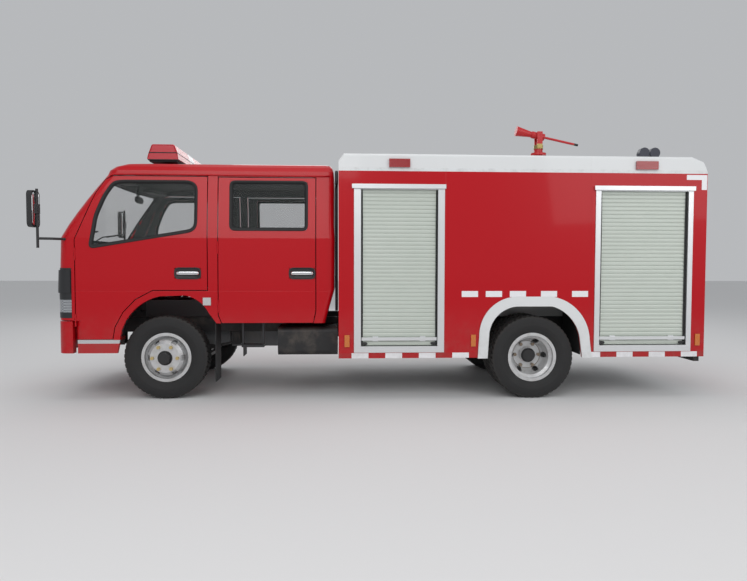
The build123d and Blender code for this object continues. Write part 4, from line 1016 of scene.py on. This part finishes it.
inset = seatShape["backInset"]
for name, (y0, y1) in seatShape["fronts"].items():
    cushion(f"{name}Cushion", seatShape["cushion"], (y0, y1), seatShape["channels"])
    back = cushion(f"{name}Back", seatShape["back"], (y0 + inset, y1 - inset), seatShape["channels"])
    leaned(back, seatShape["backHinge"], seatShape["backLean"])
cushion("benchCushion", seatShape["benchCushion"], seatShape["bench"], seatShape["benchChannels"])
benchBack = cushion("benchBack", seatShape["benchBack"], seatShape["bench"], seatShape["benchChannels"])
leaned(benchBack, seatShape["benchHinge"], seatShape["benchLean"])
low, high = (fromFrontAxle(*corner) for corner in seatShape["plinth"])
plinth = roundedBox(low, high, seatShape["plinthSharp"], 12, 24)
base = outwards(addMesh("benchPlinth", plinth, "greyPlastic", "chassis"))
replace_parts(base, "seats")
print("seats made")

# Mirror glasses on the back of the heads
mirrorShape = {
    "half": (0.062, 0.142),
    "corner": 0.05,
    "rings": [(1.0, 0.0), (0.97, -0.003), (0.0, -0.0035)],
    "glassX": -0.0405,
    "y": 1.055,
    "z": 1.679,
}
across, up, depth = dishedRings(roundedLoop(rectangle(*mirrorShape["half"]), mirrorShape["corner"], 8),
                                mirrorShape["rings"])
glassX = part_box("mirrors")[1][0] + mirrorShape["glassX"]
for side, sign in sides.items():
    points = np.stack([glassX + depth, sign * mirrorShape["y"] + across, mirrorShape["z"] + up], axis=-1)
    surface = points, gridFaces(*across.shape, wrapColumns=True)
    addMesh(f"mirrorGlass_{side}", surface, "mirrorGlass", "chassis")

# Wipers parked along the foot of the windscreen
wiperShape = {
    "pivots": (0.52, -0.12),
    "reach": 0.56,
    "rise": 0.07,
    "footZ": 1.43,
    "hop": 0.05,
    "proud": 0.028,
    "steps": 24,
    "armRadius": 0.006,
    "out": (1, 0, 0.4),
    "bladeShift": (-0.012, 0, -0.004),
    "bladeFrom": 8,
    "bladeSection": [(-0.006, -0.004), (0.008, -0.004), (0.008, 0.004), (-0.006, 0.004)],
    "bossX": (-0.03, 0.012),
    "bossHalf": 0.02,
    "bossZ": (1.405, 1.445),
}


def wiperSurface(y0, shape):
    # the arm hops up in its first quarter and then climbs evenly; the blade lies behind its outer part
    t = np.linspace(0, 1, shape["steps"])
    y = y0 - shape["reach"] * t
    z = shape["footZ"] + shape["hop"] * np.minimum(1, 4 * t) + shape["rise"] * t
    arm = np.stack([cabFront(y, z) + shape["proud"], y, z], axis=1)
    blade = (arm + np.array(shape["bladeShift"]))[shape["bladeFrom"]:]
    (back, ahead), (low, high), half = shape["bossX"], shape["bossZ"], shape["bossHalf"]
    footX = arm[0][0]
    return joined([
        sweep(arm, roundLoop(shape["armRadius"], 8), shape["out"], closed=False),
        sweep(blade, shape["bladeSection"], shape["out"], closed=False),
        roundedBox((footX + back, y0 - half, low), (footX + ahead, y0 + half, high), 3.0, 10, 16),
    ])


for index, y0 in enumerate(wiperShape["pivots"]):
    outwards(addMesh(f"wiper_{index}", wiperSurface(y0, wiperShape), "rubber", "chassis"))

# Mirror and sun visors inside the windscreen: low corner, high corner, sharpness and grid of each block
visorShape = [
    ((0.475, -0.12, 1.83), (0.505, 0.12, 1.90), 3.0, 14, 24),
    ((0.485, -0.012, 1.89), (0.515, 0.012, 2.0), 4.0, 8, 12),
    ((0.40, -0.72, 1.975), (0.56, -0.24, 1.995), 5.0, 10, 24),
    ((0.40, 0.24, 1.975), (0.56, 0.72, 1.995), 5.0, 10, 24),
]
visors = [roundedBox(fromFrontAxle(*low), fromFrontAxle(*high), *form) for low, high, *form in visorShape]
outwards(addMesh("visors", joined(visors), "plastic", "chassis"))

# Air intake between the cab and the body: a head on a stand pipe
intakeShape = {
    "head": ((-1.545, 0.70, 1.93), (-1.515, 0.86, 2.06)),
    "pipe": (-1.53, 0.78),
    "pipeZ": (0.79, 1.96),
    "pipeRadius": 0.013,
}
low, high = (fromFrontAxle(*corner) for corner in intakeShape["head"])
pipe = [fromFrontAxle(*intakeShape["pipe"], z) for z in np.linspace(*intakeShape["pipeZ"], 12)]
intake = [
    roundedBox(low, high, 6.0, 14, 24),
    sweep(pipe, roundLoop(intakeShape["pipeRadius"], 14), (0, 1, 0), closed=False),
]
outwards(addMesh("airIntake", joined(intake), "plastic", "chassis"))
print("outer details made")

# Fog lamps in dark rings on the bumper
fogShape = {
    "y": 0.62,
    "z": 0.50,
    "lampHalf": (0.055, 0.055),
    "lampRise": (0.009, 0.010),
    "bezelHalf": (0.085, 0.066),
    "bezelRise": (0.004, 0.002),
    "sunk": -0.004,
}
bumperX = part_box("front_bumper")[1][0]


def frontPad(middle, half, rise):
    # an oval pad on the bumper's arc: its rim lifts by the first rise, and the middle by the second as well
    lift, crown = rise
    outline = np.array(middle) + roundLoop(1.0, 40) * np.array(half)
    rings = [(1.0, fogShape["sunk"]), (0.985, lift), (0.9, lift + crown * 0.4), (0.5, lift + crown),
             (0.0, lift + crown)]
    y, z, height = dishedRings(outline, rings)
    x = bumperX - y**2 / (2 * cabShape["bulge"]) + height
    return np.stack([x, y, z], axis=-1), gridFaces(*y.shape, wrapColumns=True)


for side, sign in sides.items():
    middle = (sign * fogShape["y"], fogShape["z"])
    bezel = frontPad(middle, fogShape["bezelHalf"], fogShape["bezelRise"])
    addMesh(f"fogBezel_{side}", bezel, "plastic", "chassis")
    lamp = frontPad(middle, fogShape["lampHalf"], fogShape["lampRise"])
    addMesh(f"fogLamp_{side}", lamp, "clear", "chassis")

# Hatch handles, each a bar on two feet, and a bright edge round the hatch; x is measured from its face
hatchShape = {
    "handles": (-0.42, 0.26),
    "length": 0.16,
    "barX": (-0.034, -0.020),
    "barZ": (0.955, 0.975),
    "feet": (0.012, 0.130),
    "footWidth": 0.018,
    "footX": (-0.030, 0.001),
    "footZ": (0.957, 0.973),
    "sharp": 3.0,
    "edge": [(-0.59, 0.868), (0.59, 0.868), (0.59, 1.880), (-0.59, 1.880)],
    "edgeCorner": 0.04,
    "edgeSection": [(0.0015, -0.010), (0.0015, 0.010), (-0.001, 0.012), (-0.001, -0.012)],
}
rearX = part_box("rear_hatch")[0][0]


def hatchBlock(x, y, z, grid):
    # a rounded block between two x, two y and two z
    low, high = zip(x, y, z)
    return roundedBox((rearX + low[0], *low[1:]), (rearX + high[0], *high[1:]), hatchShape["sharp"], *grid)


handles = []
for y0 in hatchShape["handles"]:
    bar = (y0, y0 + hatchShape["length"])
    handles.append(hatchBlock(hatchShape["barX"], bar, hatchShape["barZ"], (12, 24)))
    for start in hatchShape["feet"]:
        foot = (y0 + start, y0 + start + hatchShape["footWidth"])
        handles.append(hatchBlock(hatchShape["footX"], foot, hatchShape["footZ"], (10, 14)))
outwards(addMesh("hatchHandles", joined(handles), "chrome", "rear_hatch"))
y, z = roundedLoop(hatchShape["edge"], hatchShape["edgeCorner"]).T
edge = sweep(np.stack([rearX + 0 * y, y, z], axis=1), hatchShape["edgeSection"], (-1, 0, 0))
outwards(addMesh("hatchEdge", edge, "alloy", "rear_hatch"))
print("front and rear details made")

# Camera at the place and turn worked out from the photograph
cameraFit = {
    "place": (frontAxleX - 1.5849, 6.4646, 1.2104),
    "yaw": 0.0500,
    "pitch": 0.0415,
    "roll": 0.0017,
    "focal": 618.727,
    "imageWidth": 747,
    "sensor": 36.0,
}


def placeCamera(fit):
    # the view starts along -Y, turns to the rear by yaw, down by pitch, and rolls about itself
    ahead, right, up = Vector((0, -1, 0)), Vector((-1, 0, 0)), Vector((0, 0, 1))
    cosYaw, sinYaw = np.cos(fit["yaw"]), np.sin(fit["yaw"])
    ahead, right = ahead * cosYaw + right * sinYaw, right * cosYaw - ahead * sinYaw
    cosPitch, sinPitch = np.cos(fit["pitch"]), np.sin(fit["pitch"])
    ahead, up = ahead * cosPitch - up * sinPitch, up * cosPitch + ahead * sinPitch
    cosRoll, sinRoll = np.cos(fit["roll"]), np.sin(fit["roll"])
    right, up = right * cosRoll + up * sinRoll, up * cosRoll - right * sinRoll
    data = bpy.data.cameras.new("photoCamera")
    data.sensor_width = fit["sensor"]
    data.lens = fit["focal"] / fit["imageWidth"] * fit["sensor"]
    data.clip_end = 200
    camera = bpy.data.objects.new("photoCamera", data)
    turn = Matrix((right, up, -ahead)).transposed().to_4x4()
    camera.matrix_world = Matrix.Translation(fit["place"]) @ turn
    bpy.context.scene.collection.objects.link(camera)
    bpy.context.scene.camera = camera


placeCamera(cameraFit)

# Floor, light and sky
lighting = {
    "floor": (0.72, 0.72, 0.72),
    "floorReach": 40.0,
    "floorRough": 0.9,
    "sky": (0.95, 0.97, 1.0),
    "skyStrength": 0.5,
    "lamps": (
        ((2.5, 9.0, 6.0), 6.0, 270),
        ((-6.5, 8.0, 5.0), 6.0, 200),
        ((0.0, -8.0, 6.0), 6.0, 180),
        ((0, 1, 8.5), 7.0, 150),
    ),
    "aim": (0, 0, 0.8),
}


def studio(settings):
    # a square floor, an even sky, and area lamps of (place, size, power) that look at one point
    plane = bpy.data.meshes.new("floor")
    reach = settings["floorReach"]
    plane.from_pydata([(x, y, 0) for x, y in rectangle(reach, reach)], [], [(0, 1, 2, 3)])
    floor = bpy.data.objects.new("floor", plane)
    bpy.context.scene.collection.objects.link(floor)
    paint = Paint("floorPaint")
    paint.colour(settings["floor"])
    paint.rough(settings["floorRough"])
    plane.materials.append(paint.material)
    world = bpy.data.worlds.new("studioSky")
    world.use_nodes = True
    background = world.node_tree.nodes["Background"]
    background.inputs[0].default_value = (*settings["sky"], 1.0)
    background.inputs[1].default_value = settings["skyStrength"]
    bpy.context.scene.world = world
    for place, size, power in settings["lamps"]:
        data = bpy.data.lights.new("softLight", "AREA")
        data.energy = power
        data.size = size
        lamp = bpy.data.objects.new("softLight", data)
        lamp.location = place
        lamp.rotation_euler = (Vector(settings["aim"]) - Vector(place)).to_track_quat("-Z", "Y").to_euler()
        bpy.context.scene.collection.objects.link(lamp)


studio(lighting)
view = bpy.context.scene.view_settings
view.view_transform = "Standard"
view.look = "None"
view.exposure = 0.0
print("studio ready")
